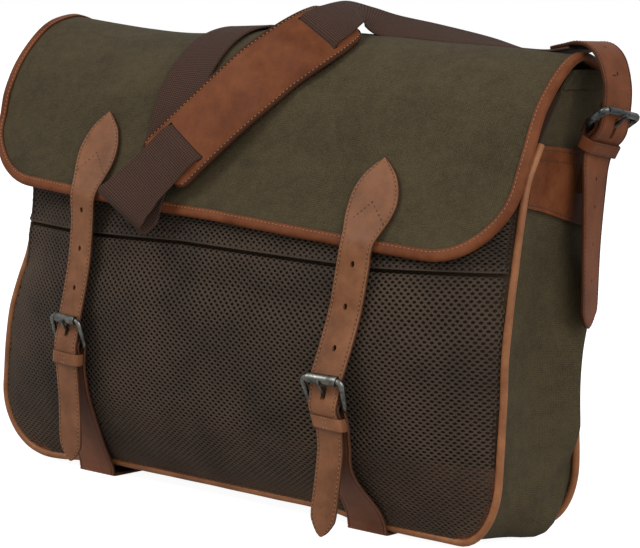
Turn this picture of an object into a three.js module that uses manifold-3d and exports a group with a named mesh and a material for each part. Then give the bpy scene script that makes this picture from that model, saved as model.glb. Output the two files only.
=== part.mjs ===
// Game bag: a canvas body with a net front, a bound canvas flap, two buckled closing straps
// and a webbing shoulder strap with a leather pad. Millimetres, +Z up, the front faces -Y.
import * as THREE from "three";
import { mergeVertices } from "three/addons/utils/BufferGeometryUtils.js";
import Module from "manifold-3d";

const wasm = await Module();
wasm.setup();

// Thicknesses and clearances
const gap = 0.5;
const canvas = 2;
const netThick = 1.6;
const leather = 2.4;
const bindingThick = 1.2;
const webbingThick = 1.8;
const padThick = 3.6;

// Body: the seam outline is the middle of the piping
const pipingRadius = 3;
const rimInset = pipingRadius + 0.4;
const seamBottom = leather + 0.3 + pipingRadius;
const cornerTall = 46;
const cornerWide = { left: 46, right: 28 };
const bodyTop = 327;
const leftTop = 320;
const frontTop = 312;
const backTop = 307.8;
const slitLow = 180;
const slitHigh = 184.5;
const bandTop = 236;
const pipingTop = 278;
const baseSag = 6;
const backBulge = 3;

// Canvas pushed out under the right patch and at the lower corners
const patchFill = { depth: 5.6, v: 0.62, wide: 0.26, z: 252, tall: 45 };
const cornerFill = { depth: 10, v: 0.65, wide: 0.3 };

// Flap
const flapEnds = { left: 236, right: 224.5 };
const flapLength = 244;
const flapCorner = 55;
const bindingReach = 6.2;
const flapTilt = 0.016;
const flapDip = { x: -140, span: 95, depth: 11 };

// Closing straps and their roller buckles
const strapX = { left: -120, right: 124.5 };
const strapHalf = 12.3;
const wire = 2;
const bar = { y: -106.2, z: 98 };
const roller = { y: -113.6, z: 118, outside: 3.4, inside: 2.4, long: 23 };
const frameHalf = 15.6;
const keeperThick = 1.5;
const closingKeeper = { y: -107.7, z: 88.5, half: 6.6, height: 9 };
const tongueTips = { left: 11.2, right: 8.7 };
const tabDrops = { left: 0, right: 9 };
const closingLean = { left: { x: 3, y: 0, z: 3.3 }, right: { x: -11.5, y: -5, z: -7.7 } };
const punchedRadius = 1.9;

// Side strap and its pin buckle on the right gusset
const sideY = 15;
const sideHalf = 19;
const sideWire = 2.2;
const sideBar = { x: 240.5, z: 290 };
const sideRail = { x: 255, z: 301 };
const sideFrameHalf = 22.4;
const sideKeeper = { x: 238.97, z: 276.76, half: 3.9, height: 9.5, lean: 0.433 };
const sideLean = { share: 0.14, low: [240, 270], high: [310, 335] };
const chapeHalf = 17.5;
const patchGap = 0.7;

// Shoulder strap
const webbingHalf = 19.5;
const padHalf = 27;
const foldRadius = 4.5;

// Seam lines of the body by height: reach to the left and right, front and back places, gusset dent
const bodyRows = [
  { z: 5, left: 217, right: 225, front: -60, back: 43, dent: 0 },
  { z: 51, left: 217.5, right: 225, front: -61, back: 41, dent: 2 },
  { z: 106, left: 213, right: 226, front: -64, back: 31, dent: 6 },
  { z: 134, left: 204.5, right: 226, front: -66, back: 31, dent: 7 },
  { z: 160, left: 196.5, right: 226, front: -65, back: 36, dent: 6 },
  { z: 196, left: 196.5, right: 225, front: -60, back: 42, dent: 4 },
  { z: 232, left: 202, right: 225, front: -56, back: 46, dent: 3 },
  { z: 254, left: 207, right: 224, front: -50, back: 48, dent: 3 },
  { z: 276, left: 213, right: 224, front: -38, back: 49, dent: 4 },
  { z: 296, left: 218, right: 224, front: -25, back: 49, dent: 6 },
  { z: 314, left: 220, right: 224, front: -11, back: 44, dent: 8 },
  { z: 326, left: 221, right: 224, front: 1, back: 32, dent: 8 },
];

// Front of the net on the middle line of the bag
const bellyRows = [
  { z: 9, y: -62 }, { z: 26, y: -74 }, { z: 58, y: -92.5 }, { z: 86, y: -99 }, { z: 111, y: -101.5 },
  { z: 136, y: -100 }, { z: 163, y: -97.5 }, { z: 182, y: -93 }, { z: 206, y: -87 }, { z: 240, y: -76 },
  { z: 262, y: -66 }, { z: 288, y: -48 }, { z: 314, y: -24 }, { z: 326, y: -8 },
];

// Outer face of the flap from the back seam: its middle and both end sections, and its share of the dip
const flapRows = [
  { s: 0, midY: 53.5, midZ: 308.5, leftY: 51, leftZ: 308.5, rightY: 51, rightZ: 308.5, dip: 0 },
  { s: 17, midY: 49.5, midZ: 324, leftY: 46, leftZ: 323, rightY: 46, rightZ: 323, dip: 0.3 },
  { s: 36, midY: 33, midZ: 335, leftY: 29, leftZ: 333, rightY: 28, rightZ: 334, dip: 0.8 },
  { s: 60, midY: 10, midZ: 339, leftY: 10, leftZ: 335.5, rightY: 8, rightZ: 337, dip: 1 },
  { s: 89, midY: -18, midZ: 333, leftY: -17, leftZ: 327, rightY: -14, rightZ: 325, dip: 1 },
  { s: 121, midY: -45, midZ: 315, leftY: -42, leftZ: 303.5, rightY: -36, rightZ: 301, dip: 0.7 },
  { s: 156, midY: -66, midZ: 287, leftY: -56.5, leftZ: 275, rightY: -48, rightZ: 276, dip: 0.3 },
  { s: 187, midY: -77, midZ: 258, leftY: -61, leftZ: 252, rightY: -58, rightZ: 256, dip: 0.1 },
  { s: 217, midY: -88, midZ: 231, leftY: -69, leftZ: 233, rightY: -69, rightZ: 232, dip: 0 },
  { s: 244, midY: -97, midZ: 206, leftY: -80, leftZ: 210, rightY: -80, rightZ: 207, dip: 0 },
];

// Tab of a closing strap on the flap: height, half width, and lift of its back over the flap
const tabRows = [
  { z: 268, half: 1.2, lift: 0.7 }, { z: 265, half: 6.2, lift: 0.7 }, { z: 258, half: 12.4, lift: 0.7 },
  { z: 249, half: 16.8, lift: 0.7 }, { z: 240, half: 18.4, lift: 0.7 }, { z: 231, half: 17.6, lift: 0.8 },
  { z: 222, half: 15, lift: 1.9 }, { z: 214, half: 12.9, lift: 3.3 }, { z: 206, half: 12.3, lift: 3.3 },
];

// Middle of a closing strap below the flap, down to where its tongue narrows
const strapRows = [
  { z: 190, y: -97.8 }, { z: 163, y: -99.5 }, { z: 140, y: -103.4 }, { z: 119.7, y: -108.1 },
  { z: 112, y: -109 }, { z: 104, y: -111.6 }, { z: 97, y: -113.2 }, { z: 84, y: -111.2 },
  { z: 56, y: -105.5 },
];
const tonguePoint = [
  { above: 16, half: 12.3 }, { above: 8, half: 9.6 }, { above: 2.5, half: 5 }, { above: 0, half: 1 },
];
const tongueEnd = { y: -101.2, z: 26 };
const punchedHeights = { left: [199, 170, 140.5], right: [190, 163, 137] };

// Middle of a billet from its sewn end, round the buckle's bar, down the belly and under the base
const billetRows = [
  { y: -106.4, z: 83 }, { y: -109.2, z: 92 }, { y: -110.2, z: 98 }, { y: -109, z: 100.8 },
  { y: -106.2, z: 102 }, { y: -103.4, z: 100.8 }, { y: -102.2, z: 98 }, { y: -103.4, z: 89 },
  { y: -101.6, z: 79 }, { y: -94.6, z: 58 }, { y: -82.5, z: 36 }, { y: -71.5, z: 17 }, { y: -66.4, z: 8 },
  { y: -64.8, z: 3 }, { y: -61, z: 1.2 }, { y: -20, z: 1.2 }, { y: 34, z: 1.2 },
];

// Patch on a gusset: share of the gusset's width from the front, lower and upper edge
const patchRows = [
  { v: 0.05, low: 236, high: 277 }, { v: 0.3, low: 232, high: 275.5 },
  { v: 0.6, low: 225, high: 273 }, { v: 0.93, low: 219, high: 271 },
];

// Chape from behind the side buckle's bar, round it and down to the patch
const chapeRows = [
  { x: 235.2, z: 284 }, { x: 236.5, z: 290.5 }, { x: 238.3, z: 294 }, { x: 241.1, z: 294.5 },
  { x: 244.1, z: 292.6 }, { x: 244.8, z: 289.3 }, { x: 243, z: 286.2 }, { x: 239, z: 282 },
  { x: 236.97, z: 277.7 }, { x: 234, z: 271.7 }, { x: 230.7, z: 264 }, { x: 228.7, z: 255 }, { x: 228.2, z: 244 },
];

// Leather end of the shoulder strap from its hanging tip, through the buckle and over the bag
const sideRows = [
  { x: 240.4, y: 15.6, z: 168, turn: 0.26 }, { x: 238.4, y: 15.4, z: 210, turn: 0.21 },
  { x: 237.6, y: 15.1, z: 250, turn: 0.11 }, { x: 237.4, y: 15, z: 266, turn: 0.04 },
  { x: 239.6, y: 15, z: 276.5 }, { x: 245.9, y: 15, z: 283.9 }, { x: 248.8, y: 15, z: 290.3 },
  { x: 250.2, y: 15, z: 303.5 }, { x: 249, y: 16, z: 320 }, { x: 241.8, y: 18.5, z: 336 },
  { x: 231.5, y: 22, z: 344 }, { x: 219, y: 27, z: 346, tilt: 0.03 }, { x: 206, y: 31.5, z: 343.4, tilt: 0.08 },
  { x: 194, y: 35.5, z: 340.6, tilt: 0.12 }, { x: 182, y: 38, z: 339.4, tilt: 0.13 },
  { x: 172, y: 38.5, z: 339.4, tilt: 0.13 },
];
const sidePoint = [{ z: 152, half: 1 }, { z: 154.5, half: 5 }, { z: 160, half: 12.5 }];
const sideHoles = [{ at: 0.4 }, { at: 1.0 }, { at: 1.6 }, { at: 2.2 }, { at: 8.4 }, { at: 9.8 }];

// Webbing from the leather end to the pad: middle, and direction to its front edge
const webbingRightRows = [
  { x: 192, y: 36.2, z: 337.2, rx: 0, ry: -0.99, rz: 0.13 },
  { x: 172, y: 38.3, z: 336.5, rx: 0, ry: -0.99, rz: 0.13 },
  { x: 150, y: 37, z: 338, rx: 0, ry: -0.99, rz: 0.08 },
  { x: 124.2, y: 31.5, z: 341.9, rx: 0, ry: -0.99, rz: -0.04 },
  { x: 85, y: 27.1, z: 345.3, rx: 0.05, ry: -0.98, rz: -0.14 },
  { x: 57.1, y: 21.9, z: 347.6, rx: 0.2, ry: -0.94, rz: -0.24 },
  { x: 42.7, y: 16.2, z: 350.6, rx: 0.45, ry: -0.82, rz: -0.32 },
  { x: 37, y: 6.5, z: 354.2, rx: 0.78, ry: -0.5, rz: -0.31 },
];

// Middle of the pad from its upper to its lower end, and direction to its right edge
const padRows = [
  { x: 35, y: -6.5, z: 348, rx: 0.92, ry: -0.2, rz: -0.33 },
  { x: 35.5, y: -28, z: 340.4, rx: 0.89, ry: -0.1, rz: -0.44 },
  { x: 29.4, y: -46.2, z: 329.8, rx: 0.87, ry: -0.075, rz: -0.49 },
  { x: 14.9, y: -58.3, z: 315, rx: 0.86, ry: -0.065, rz: -0.5 },
  { x: 4.8, y: -69.3, z: 301.3, rx: 0.86, ry: -0.07, rz: -0.51 },
  { x: -12.7, y: -80, z: 280.6, rx: 0.86, ry: -0.11, rz: -0.49 },
  { x: -34.5, y: -91, z: 254.7, rx: 0.84, ry: -0.125, rz: -0.525 },
  { x: -49.7, y: -98.5, z: 235.9, rx: 0.83, ry: -0.11, rz: -0.545 },
];
const padSlits = [1.42, 5.85];
const slitRun = 0.22;

// Webbing from the pad round its fold at the flap's edge
const webbingFoldRows = [
  { x: -57, y: -105.5, z: 227, rx: 0.82, ry: -0.12, rz: -0.55, wide: 1.06 },
  { x: -66, y: -111, z: 214, rx: 0.85, ry: -0.08, rz: -0.52, wide: 1.18 },
  { x: -72, y: -113, z: 206, rx: 0.87, ry: -0.05, rz: -0.49, wide: 1.28 },
  { x: -74, y: -108.5, z: 203, rx: 0.87, ry: -0.05, rz: -0.49, wide: 1.28 },
  { x: -72.5, y: -104, z: 207, rx: 0.89, ry: -0.02, rz: -0.45, wide: 1.2 },
];

// Webbing up the flap and over its ridge to the back
const webbingFlapRows = [
  { x: -71, s: 222, lift: 5.2, rx: 0.94, rz: -0.34 }, { x: -65, s: 196, lift: 3, rx: 0.96, rz: -0.26 },
  { x: -60, s: 160, lift: 2.6, rx: 0.98, rz: -0.14 }, { x: -60, s: 122, lift: 2.6, rx: 1, rz: 0 },
  { x: -61, s: 90, lift: 2.6, rx: 1, rz: 0 }, { x: -60, s: 60, lift: 2.8, rx: 1, rz: 0 },
  { x: -59, s: 36, lift: 3, rx: 1, rz: 0 }, { x: -58, s: 17, lift: 3, rx: 1, rz: 0 },
  { x: -57.5, s: 2, lift: 3, rx: 1, rz: 0 },
];

// Webbing along the back, round the corner and down to the left patch, between its two flat folds
const backFold = { x: -57, y: 56, z: 284 };
const webbingBackRows = [
  { x: -110, y: 64, z: 274 }, { x: -160, y: 62, z: 272 }, { x: -200, y: 61, z: 270 },
  { x: -214, y: 59.5, z: 268 }, { x: -224, y: 53, z: 268 },
];
const cornerFold = { x: -227, y: 32, z: 268 };
const webbingEndRows = [{ x: -203.3, y: 22, z: 236 }, { x: -202.1, y: 22, z: 228 }];

const axisX = new THREE.Vector3(1, 0, 0);
const axisY = new THREE.Vector3(0, 1, 0);
const axisZ = new THREE.Vector3(0, 0, 1);

const colours = {
  canvas: { color: 0x57503f, roughness: 0.95, metalness: 0 },
  net: { color: 0x3e352f, roughness: 0.9, metalness: 0 },
  leather: { color: 0x9a6544, roughness: 0.6, metalness: 0 },
  webbing: { color: 0x463a38, roughness: 0.9, metalness: 0 },
  gunmetal: { color: 0x6c6f6c, roughness: 0.35, metalness: 1 },
};

const bag = new THREE.Group();

// Pieces that lean have their points moved by the given function
function leaned(geometry, lean) {
  const places = geometry.attributes.position;
  const p = new THREE.Vector3();
  for (let i = 0; i < places.count; i += 1) {
    lean(p.fromBufferAttribute(places, i));
    places.setXYZ(i, p.x, p.y, p.z);
  }
  return geometry;
}

const share = (value, [from, to]) => THREE.MathUtils.clamp((value - from) / (to - from), 0, 1);

// The side buckle hangs lower towards the back
function leanSide(p) {
  p.z -= sideLean.share * (p.y - sideY) * share(p.z, sideLean.low) * (1 - share(p.z, sideLean.high));
}

// A closing hangs askew below the flap; a lower strap does so only above its foot
function leanClosing(side, foot) {
  const { x, y, z } = closingLean[side];
  return (p) => {
    const part = foot ? share(p.z, foot) : 1;
    const height = p.z;
    p.x += part * x * share(height, [230, 100]);
    p.y += part * y * share(height, [160, 100]);
    p.z += part * z * share(height, [200, 105]);
  };
}

function add(name, geometry, colour) {
  const mesh = new THREE.Mesh(geometry, new THREE.MeshStandardMaterial(colours[colour]));
  mesh.name = name;
  bag.add(mesh);
}

// Value of a table's column at a key, on a smooth curve through the rows
function follow(rows, key, column, value) {
  const last = rows.length - 1;
  let i = 0;
  while (i < last - 1 && value > rows[i + 1][key]) i += 1;
  const slope = (a, b) => (rows[b][column] - rows[a][column]) / (rows[b][key] - rows[a][key]);
  const span = rows[i + 1][key] - rows[i][key];
  const t = THREE.MathUtils.clamp((value - rows[i][key]) / span, 0, 1);
  const start = slope(Math.max(i - 1, 0), i + 1) * span;
  const end = slope(i, Math.min(i + 2, last)) * span;
  const rise = rows[i + 1][column] - rows[i][column];
  return rows[i][column] + t * start + t * t * (3 * rise - 2 * start - end)
    + t * t * t * (start + end - 2 * rise);
}

// Closed geometry from points and faces, turned so that its faces point out
function closed(points, faces) {
  let volume = 0;
  for (const [a, b, c] of faces) {
    volume += points[a].dot(points[b].clone().cross(points[c]));
  }
  const turned = volume > 0 ? faces : faces.map(([a, b, c]) => [a, c, b]);
  const geometry = new THREE.BufferGeometry();
  geometry.setAttribute("position", new THREE.Float32BufferAttribute(points.flatMap((p) => p.toArray()), 3));
  geometry.setIndex(turned.flat());
  return geometry;
}

function quad(faces, a, b, c, d) {
  faces.push([a, b, c], [a, c, d]);
}

// Closed wall between two grids of points with the same rows and columns
function wall(low, high) {
  const rows = low.length;
  const columns = low[0].length;
  const points = [...low.flat(), ...high.flat()];
  const lowAt = (j, i) => j * columns + i;
  const highAt = (j, i) => rows * columns + j * columns + i;
  const faces = [];
  for (let j = 0; j < rows - 1; j += 1) {
    for (let i = 0; i < columns - 1; i += 1) {
      quad(faces, highAt(j, i), highAt(j, i + 1), highAt(j + 1, i + 1), highAt(j + 1, i));
      quad(faces, lowAt(j, i), lowAt(j + 1, i), lowAt(j + 1, i + 1), lowAt(j, i + 1));
    }
    quad(faces, highAt(j, 0), highAt(j + 1, 0), lowAt(j + 1, 0), lowAt(j, 0));
    const end = columns - 1;
    quad(faces, lowAt(j, end), lowAt(j + 1, end), highAt(j + 1, end), highAt(j, end));
  }
  for (let i = 0; i < columns - 1; i += 1) {
    const end = rows - 1;
    quad(faces, lowAt(0, i), lowAt(0, i + 1), highAt(0, i + 1), highAt(0, i));
    quad(faces, highAt(end, i), highAt(end, i + 1), lowAt(end, i + 1), lowAt(end, i));
  }
  return closed(points, faces);
}

function gridNormal(grid, j, i) {
  const rows = grid.length - 1;
  const columns = grid[0].length - 1;
  const across = grid[j][Math.min(i + 1, columns)].clone().sub(grid[j][Math.max(i - 1, 0)]);
  const along = grid[Math.min(j + 1, rows)][i].clone().sub(grid[Math.max(j - 1, 0)][i]);
  return across.cross(along).normalize();
}

// Grid moved along its own normals
function offset(grid, distance) {
  return grid.map((row, j) => row.map((p, i) => p.clone().addScaledVector(gridNormal(grid, j, i), distance)));
}

// Flat strip whose middle face is a grid
function strip(grid, thick) {
  return wall(offset(grid, -thick / 2), offset(grid, thick / 2));
}

// Solid swept through stations, each an array of the section's points; a loop has no ends
function swept(stations, loop = false) {
  const count = stations[0].length;
  const points = stations.flat();
  const faces = [];
  const steps = loop ? stations.length : stations.length - 1;
  for (let j = 0; j < steps; j += 1) {
    const next = (j + 1) % stations.length;
    for (let i = 0; i < count; i += 1) {
      const turn = (i + 1) % count;
      quad(faces, j * count + i, j * count + turn, next * count + turn, next * count + i);
    }
  }
  return { points, faces, count };
}

function loopSolid(stations) {
  const { points, faces } = swept(stations, true);
  return closed(points, faces);
}

// Swept solid whose two ends are closed by the given triangles of the section
function cappedSolid(stations, triangles) {
  const { points, faces, count } = swept(stations);
  const last = (stations.length - 1) * count;
  for (const [a, b, c] of triangles) {
    faces.push([a, c, b], [last + a, last + b, last + c]);
  }
  return closed(points, faces);
}

const fan = (count) => Array.from({ length: count - 2 }, (_, k) => [0, k + 1, k + 2]);

// Ring of points round a path point, in the plane across its direction
function ring(point, direction, radius, sides) {
  const side = Math.abs(direction.y) > 0.9 ? axisX : axisY;
  const a = side.clone().addScaledVector(direction, -side.dot(direction)).normalize();
  const b = direction.clone().cross(a);
  return Array.from({ length: sides }, (_, k) => {
    const angle = (k / sides) * 2 * Math.PI;
    const p = point.clone().addScaledVector(a, radius * Math.cos(angle));
    return p.addScaledVector(b, radius * Math.sin(angle));
  });
}

function directionAt(path, i, loop) {
  const count = path.length;
  const before = loop ? path[(i + count - 1) % count] : path[Math.max(i - 1, 0)];
  const after = loop ? path[(i + 1) % count] : path[Math.min(i + 1, count - 1)];
  return after.clone().sub(before).normalize();
}

function tube(path, radius, sides, loop = false) {
  const stations = path.map((p, i) => ring(p, directionAt(path, i, loop), radius, sides));
  return loop ? loopSolid(stations) : cappedSolid(stations, fan(sides));
}

function toSolid(geometry) {
  const bare = geometry.clone();
  bare.deleteAttribute("normal");
  bare.deleteAttribute("uv");
  const merged = mergeVertices(bare, 1e-4);
  return new wasm.Manifold(new wasm.Mesh({
    numProp: 3,
    vertProperties: new Float32Array(merged.attributes.position.array),
    triVerts: new Uint32Array(merged.index.array),
  }));
}

function fromSolid(solid) {
  const { vertProperties, triVerts } = solid.getMesh();
  const geometry = new THREE.BufferGeometry();
  geometry.setAttribute("position", new THREE.Float32BufferAttribute(vertProperties, 3));
  geometry.setIndex(new THREE.Uint32BufferAttribute(triVerts, 1));
  return geometry;
}

function cut(geometry, tools) {
  return fromSolid(tools.reduce((solid, tool) => solid.subtract(toSolid(tool)), toSolid(geometry)));
}

function joined(geometries) {
  return fromSolid(geometries.map(toSolid).reduce((a, b) => a.add(b)));
}

// Punch through a sheet at a point, along a direction
function punch(point, direction, radius) {
  const tool = new THREE.CylinderGeometry(radius, radius, 8 * leather, 8);
  tool.applyQuaternion(new THREE.Quaternion().setFromUnitVectors(axisY, direction));
  return tool.translate(point.x, point.y, point.z);
}

// Smooth curve through a table's rows
function curveOf(rows) {
  const points = rows.map((row) => new THREE.Vector3(row.x, row.y, row.z));
  return new THREE.CatmullRomCurve3(points, false, "catmullrom", 0.5);
}

// Body outline

const rimBottom = seamBottom + rimInset;
const rimTall = cornerTall - rimInset;
const cornerSteps = 4;
const cornerAngles = Array.from({ length: cornerSteps + 1 }, (_, k) => (k / cornerSteps) * Math.PI / 2);
const cornerHeights = cornerAngles.map((angle) => rimBottom + rimTall * (1 - Math.cos(angle)));
const sideHeights = [
  70, 90, 111, 134, 158, slitLow, slitHigh, 200, 218, bandTop, 254, 276, 296, frontTop, bodyTop,
];
const frontHeights = [...cornerHeights, ...sideHeights];

const bodyAt = (column, z) => follow(bodyRows, "z", column, z);

// Reach of the panels' rim to one side at a height
function rimReach(side, z) {
  const full = bodyAt(side, Math.max(z, cornerHeights[cornerSteps])) - rimInset;
  const drop = THREE.MathUtils.clamp(1 - (z - rimBottom) / rimTall, 0, 1);
  return full - (cornerWide[side] - rimInset) * (1 - Math.sqrt(1 - drop * drop));
}

const columnsAcross = 14;
const acrossSteps = Array.from({ length: columnsAcross + 1 }, (_, i) => (2 * i) / columnsAcross - 1);

function panelX(u, z) {
  return u < 0 ? u * rimReach("left", z) : u * rimReach("right", z);
}

const belly = (u) => Math.max(0, 1 - Math.abs(u) ** 3.2) ** 0.9;

// Front face of the net; what lies behind it is the same face moved back
function netY(u, z) {
  const front = bodyAt("front", z);
  const reach = follow(bellyRows, "z", "y", z) - front;
  return front - netThick - gap / 2 + Math.min(reach, 0) * belly(u);
}

function frontGrid(heights, back) {
  return heights.map((z) => acrossSteps.map((u) => new THREE.Vector3(panelX(u, z), netY(u, z) + back, z)));
}

function frontWall(heights, back, thick) {
  return wall(frontGrid(heights, back + thick), frontGrid(heights, back));
}

function addFront() {
  const between = (low, high) => frontHeights.filter((z) => z >= low && z <= high);
  add("net_pocket", frontWall(between(rimBottom, slitLow), 0, netThick), "net");
  add("net_band", frontWall(between(slitHigh, bandTop), 0, netThick), "net");
  add("front_panel", frontWall(between(rimBottom, frontTop), netThick + gap, canvas), "canvas");
}

function backY(u, z) {
  return bodyAt("back", z) + 1 + backBulge * (1 - u * u);
}

function addBack() {
  const heights = [...frontHeights.filter((z) => z < backTop), backTop];
  const face = (inward) => heights.map((z) => acrossSteps.filter((_, i) => i % 2 === 0)
    .map((u) => new THREE.Vector3(panelX(u, z), backY(u, z) - inward, z)));
  add("back_panel", wall(face(canvas), face(0)), "canvas");
}

const baseStations = [120, 60, 0, -60, -120];

// Stations round the gusset from the top right, under the base, to the top left
function gussetStations() {
  const side = (name, sign) => [
    ...sideHeights.slice().reverse().map((z) => ({
      name, sign, z: sign < 0 ? Math.min(z, leftTop) : z, angle: Math.PI / 2,
    })),
    ...cornerAngles.slice().reverse().map((angle, k) => ({
      name, sign, angle, z: cornerHeights[cornerSteps - k],
    })),
  ];
  const right = side("right", 1);
  const left = side("left", -1).reverse();
  const base = baseStations.map((x) => ({ name: "right", sign: 1, x, z: rimBottom, angle: 0 }));
  return [...right, ...base, ...left];
}

const gussetSteps = 7;

// Point of the gusset at a station, v from its front to its back edge, at a depth under its outer face
function gussetPoint(station, v, depth = 0) {
  const { name, sign, z, angle } = station;
  const x = station.x ?? sign * rimReach(name, z);
  const front = bodyAt("front", z) + canvas + gap;
  const back = bodyAt("back", z) - 1 - gap;
  const swell = Math.max(0, Math.sin(Math.PI * v));
  const sag = baseSag * Math.cos(angle) ** 2 * swell ** 0.6;
  const dent = bodyAt("dent", z) * Math.sin(angle) ** 2 * swell;
  const hill = (value, middle, width) => Math.exp(-(((value - middle) / width) ** 2));
  const atPatch = hill(v, patchFill.v, patchFill.wide) * hill(z, patchFill.z, patchFill.tall);
  const patch = sign > 0 ? patchFill.depth * atPatch : 0;
  const corner = cornerFill.depth * hill(v, cornerFill.v, cornerFill.wide) * Math.sin(2 * angle) ** 2;
  const fill = (patch * Math.sin(angle) ** 2 + corner) * swell ** 0.5;
  const out = sag - dent + fill - depth;
  return new THREE.Vector3(
    x + sign * out * Math.sin(angle),
    THREE.MathUtils.lerp(front, back, v),
    z - out * Math.cos(angle),
  );
}

function addGusset() {
  const face = (depth) => gussetStations().map((station) => Array.from(
    { length: gussetSteps + 1 },
    (_, i) => gussetPoint(station, i / gussetSteps, depth),
  ));
  add("gusset", wall(face(canvas), face(0)), "canvas");
}

function addPiping(name, column, top) {
  const heights = [top, ...sideHeights.filter((z) => z < top).reverse()];
  const side = (which, sign) => [
    ...heights.map((z) => new THREE.Vector3(sign * bodyAt(which, z), bodyAt(column, z), z)),
    ...cornerAngles.slice().reverse().map((angle) => {
      const z = seamBottom + cornerTall * (1 - Math.cos(angle));
      const reach = bodyAt(which, seamBottom + cornerTall) - cornerWide[which] * (1 - Math.sin(angle));
      return new THREE.Vector3(sign * reach, bodyAt(column, z), z);
    }),
  ];
  const path = [...side("right", 1), ...side("left", -1).reverse()];
  add(name, tube(path, pipingRadius, 6), "leather");
}

// Flap

function flapPoint(x, s) {
  const value = (column) => follow(flapRows, "s", column, s);
  const end = x < 0 ? "left" : "right";
  const middle = 1 - Math.min(1, Math.abs(x / (flapEnds[end] + 2))) ** 2.4;
  const away = (x - flapDip.x) / flapDip.span;
  const dip = flapDip.depth * Math.exp(-away * away) * value("dip");
  const tilt = flapTilt * x * THREE.MathUtils.clamp((s - flapLength / 2) / (flapLength / 2), 0, 1);
  return new THREE.Vector3(
    x,
    THREE.MathUtils.lerp(value(`${end}Y`), value("midY"), middle),
    THREE.MathUtils.lerp(value(`${end}Z`), value("midZ"), middle) - dip - tilt,
  );
}

function flapNormal(x, s) {
  const step = 0.5;
  const across = flapPoint(x + step, s).sub(flapPoint(x - step, s));
  const along = flapPoint(x, Math.min(s + step, flapLength)).sub(flapPoint(x, Math.max(s - step, 0)));
  return along.cross(across).normalize();
}

const onFlap = (x, s, lift) => flapPoint(x, s).addScaledVector(flapNormal(x, s), lift);

// Reach of the flap to one end, less near its round lower corners
function flapReach(end, s) {
  const t = THREE.MathUtils.clamp(1 - (flapLength - s) / flapCorner, 0, 1);
  return flapEnds[end] - flapCorner * (1 - Math.sqrt(1 - t * t));
}

const flapX = (u, s) => u * flapReach(u < 0 ? "left" : "right", s);

const flapRuns = 11;
const flapTurns = 5;
const flapLines = [
  ...Array.from({ length: flapRuns }, (_, k) => (k / flapRuns) * (flapLength - flapCorner)),
  ...Array.from({ length: flapTurns + 1 },
    (_, k) => flapLength - flapCorner * (1 - Math.sin((k / flapTurns) * Math.PI / 2))),
];

function addFlap() {
  const face = (lift) => flapLines.map((s) => acrossSteps.map((u) => onFlap(flapX(u, s), s, lift)));
  add("flap", wall(face(-canvas), face(0)), "canvas");
}

// Channel of leather folded over the flap's side and front edges
function addBinding() {
  const lines = flapLines.filter((s) => s > 10);
  const outward = (s) => {
    const t = THREE.MathUtils.clamp(1 - (flapLength - s) / flapCorner, 0, 1);
    return { x: Math.sqrt(1 - t * t), s: t };
  };
  const edge = [
    ...lines.map((s) => ({ x: flapX(-1, s), s, outX: -outward(s).x, outS: outward(s).s })),
    ...acrossSteps.slice(1, -1).map((u) => flapX(u, flapLength))
      .map((x) => ({ x, s: flapLength, outX: 0, outS: 1 })),
    ...lines.slice().reverse().map((s) => ({ x: flapX(1, s), s, outX: outward(s).x, outS: outward(s).s })),
  ];
  const stations = edge.map(({ x, s, outX, outS }) => {
    const innerX = x - outX * bindingReach;
    const innerS = s - outS * bindingReach;
    const out = flapPoint(x, s).sub(flapPoint(innerX, innerS)).normalize();
    const leaf = (lift) => onFlap(innerX, innerS, lift);
    const rim = (lift, reach) => onFlap(x, s, lift).addScaledVector(out, reach);
    const top = gap + bindingThick;
    const bottom = -canvas - gap - bindingThick;
    return [
      leaf(top), rim(top, top), rim(bottom, top), leaf(bottom),
      leaf(-canvas - gap), rim(-canvas - gap, gap), rim(gap, gap), leaf(gap),
    ];
  });
  const ends = [[0, 1, 6], [0, 6, 7], [1, 2, 5], [1, 5, 6], [2, 3, 4], [2, 4, 5]];
  add("flap_binding", cappedSolid(stations, ends), "leather");
}

// Front of the flap's outer face at a place across and a height
function flapFront(x, z) {
  let low = flapLength / 2;
  let high = flapLength;
  for (let step = 0; step < 30; step += 1) {
    const s = (low + high) / 2;
    if (flapPoint(x, s).z > z) low = s;
    else high = s;
  }
  return flapPoint(x, low).y;
}

// Closing straps

const strapColumns = [-1, -0.5, 0, 0.5, 1];

// A lift from the sloping flap is this much longer along Y
const tabSlope = 1.08;

function strapGrid(side, x) {
  const tip = tongueTips[side];
  const tab = tabRows.map(({ z, half, lift }) => strapColumns.map((u) => {
    const place = x + u * half;
    const height = z - tabDrops[side];
    const clear = tabSlope * (lift + leather / 2);
    return new THREE.Vector3(place, flapFront(place, height) - clear, height);
  }));
  const flat = (y, z, half) => strapColumns.map((u) => new THREE.Vector3(x + u * half, y, z));
  const middle = strapRows.map(({ y, z }) => flat(y, z, strapHalf));
  const last = strapRows[strapRows.length - 1];
  const lean = (tongueEnd.y - last.y) / (tongueEnd.z - last.z);
  const tongue = tonguePoint.map(({ above, half }) => {
    const z = tip + above;
    return flat(last.y + lean * (z - last.z), z, half);
  });
  return [...tab, ...middle, ...tongue];
}

// Direction from the bar to the roller, and the direction from the buckle to the bag
const along = new THREE.Vector3(0, roller.y - bar.y, roller.z - bar.z).normalize();
const inward = new THREE.Vector3(0, along.z, -along.y);
const frameLength = Math.hypot(roller.y - bar.y, roller.z - bar.z);

function barPoint(x, up, out) {
  return new THREE.Vector3(x, bar.y, bar.z).addScaledVector(along, up).addScaledVector(inward, -out);
}

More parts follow.
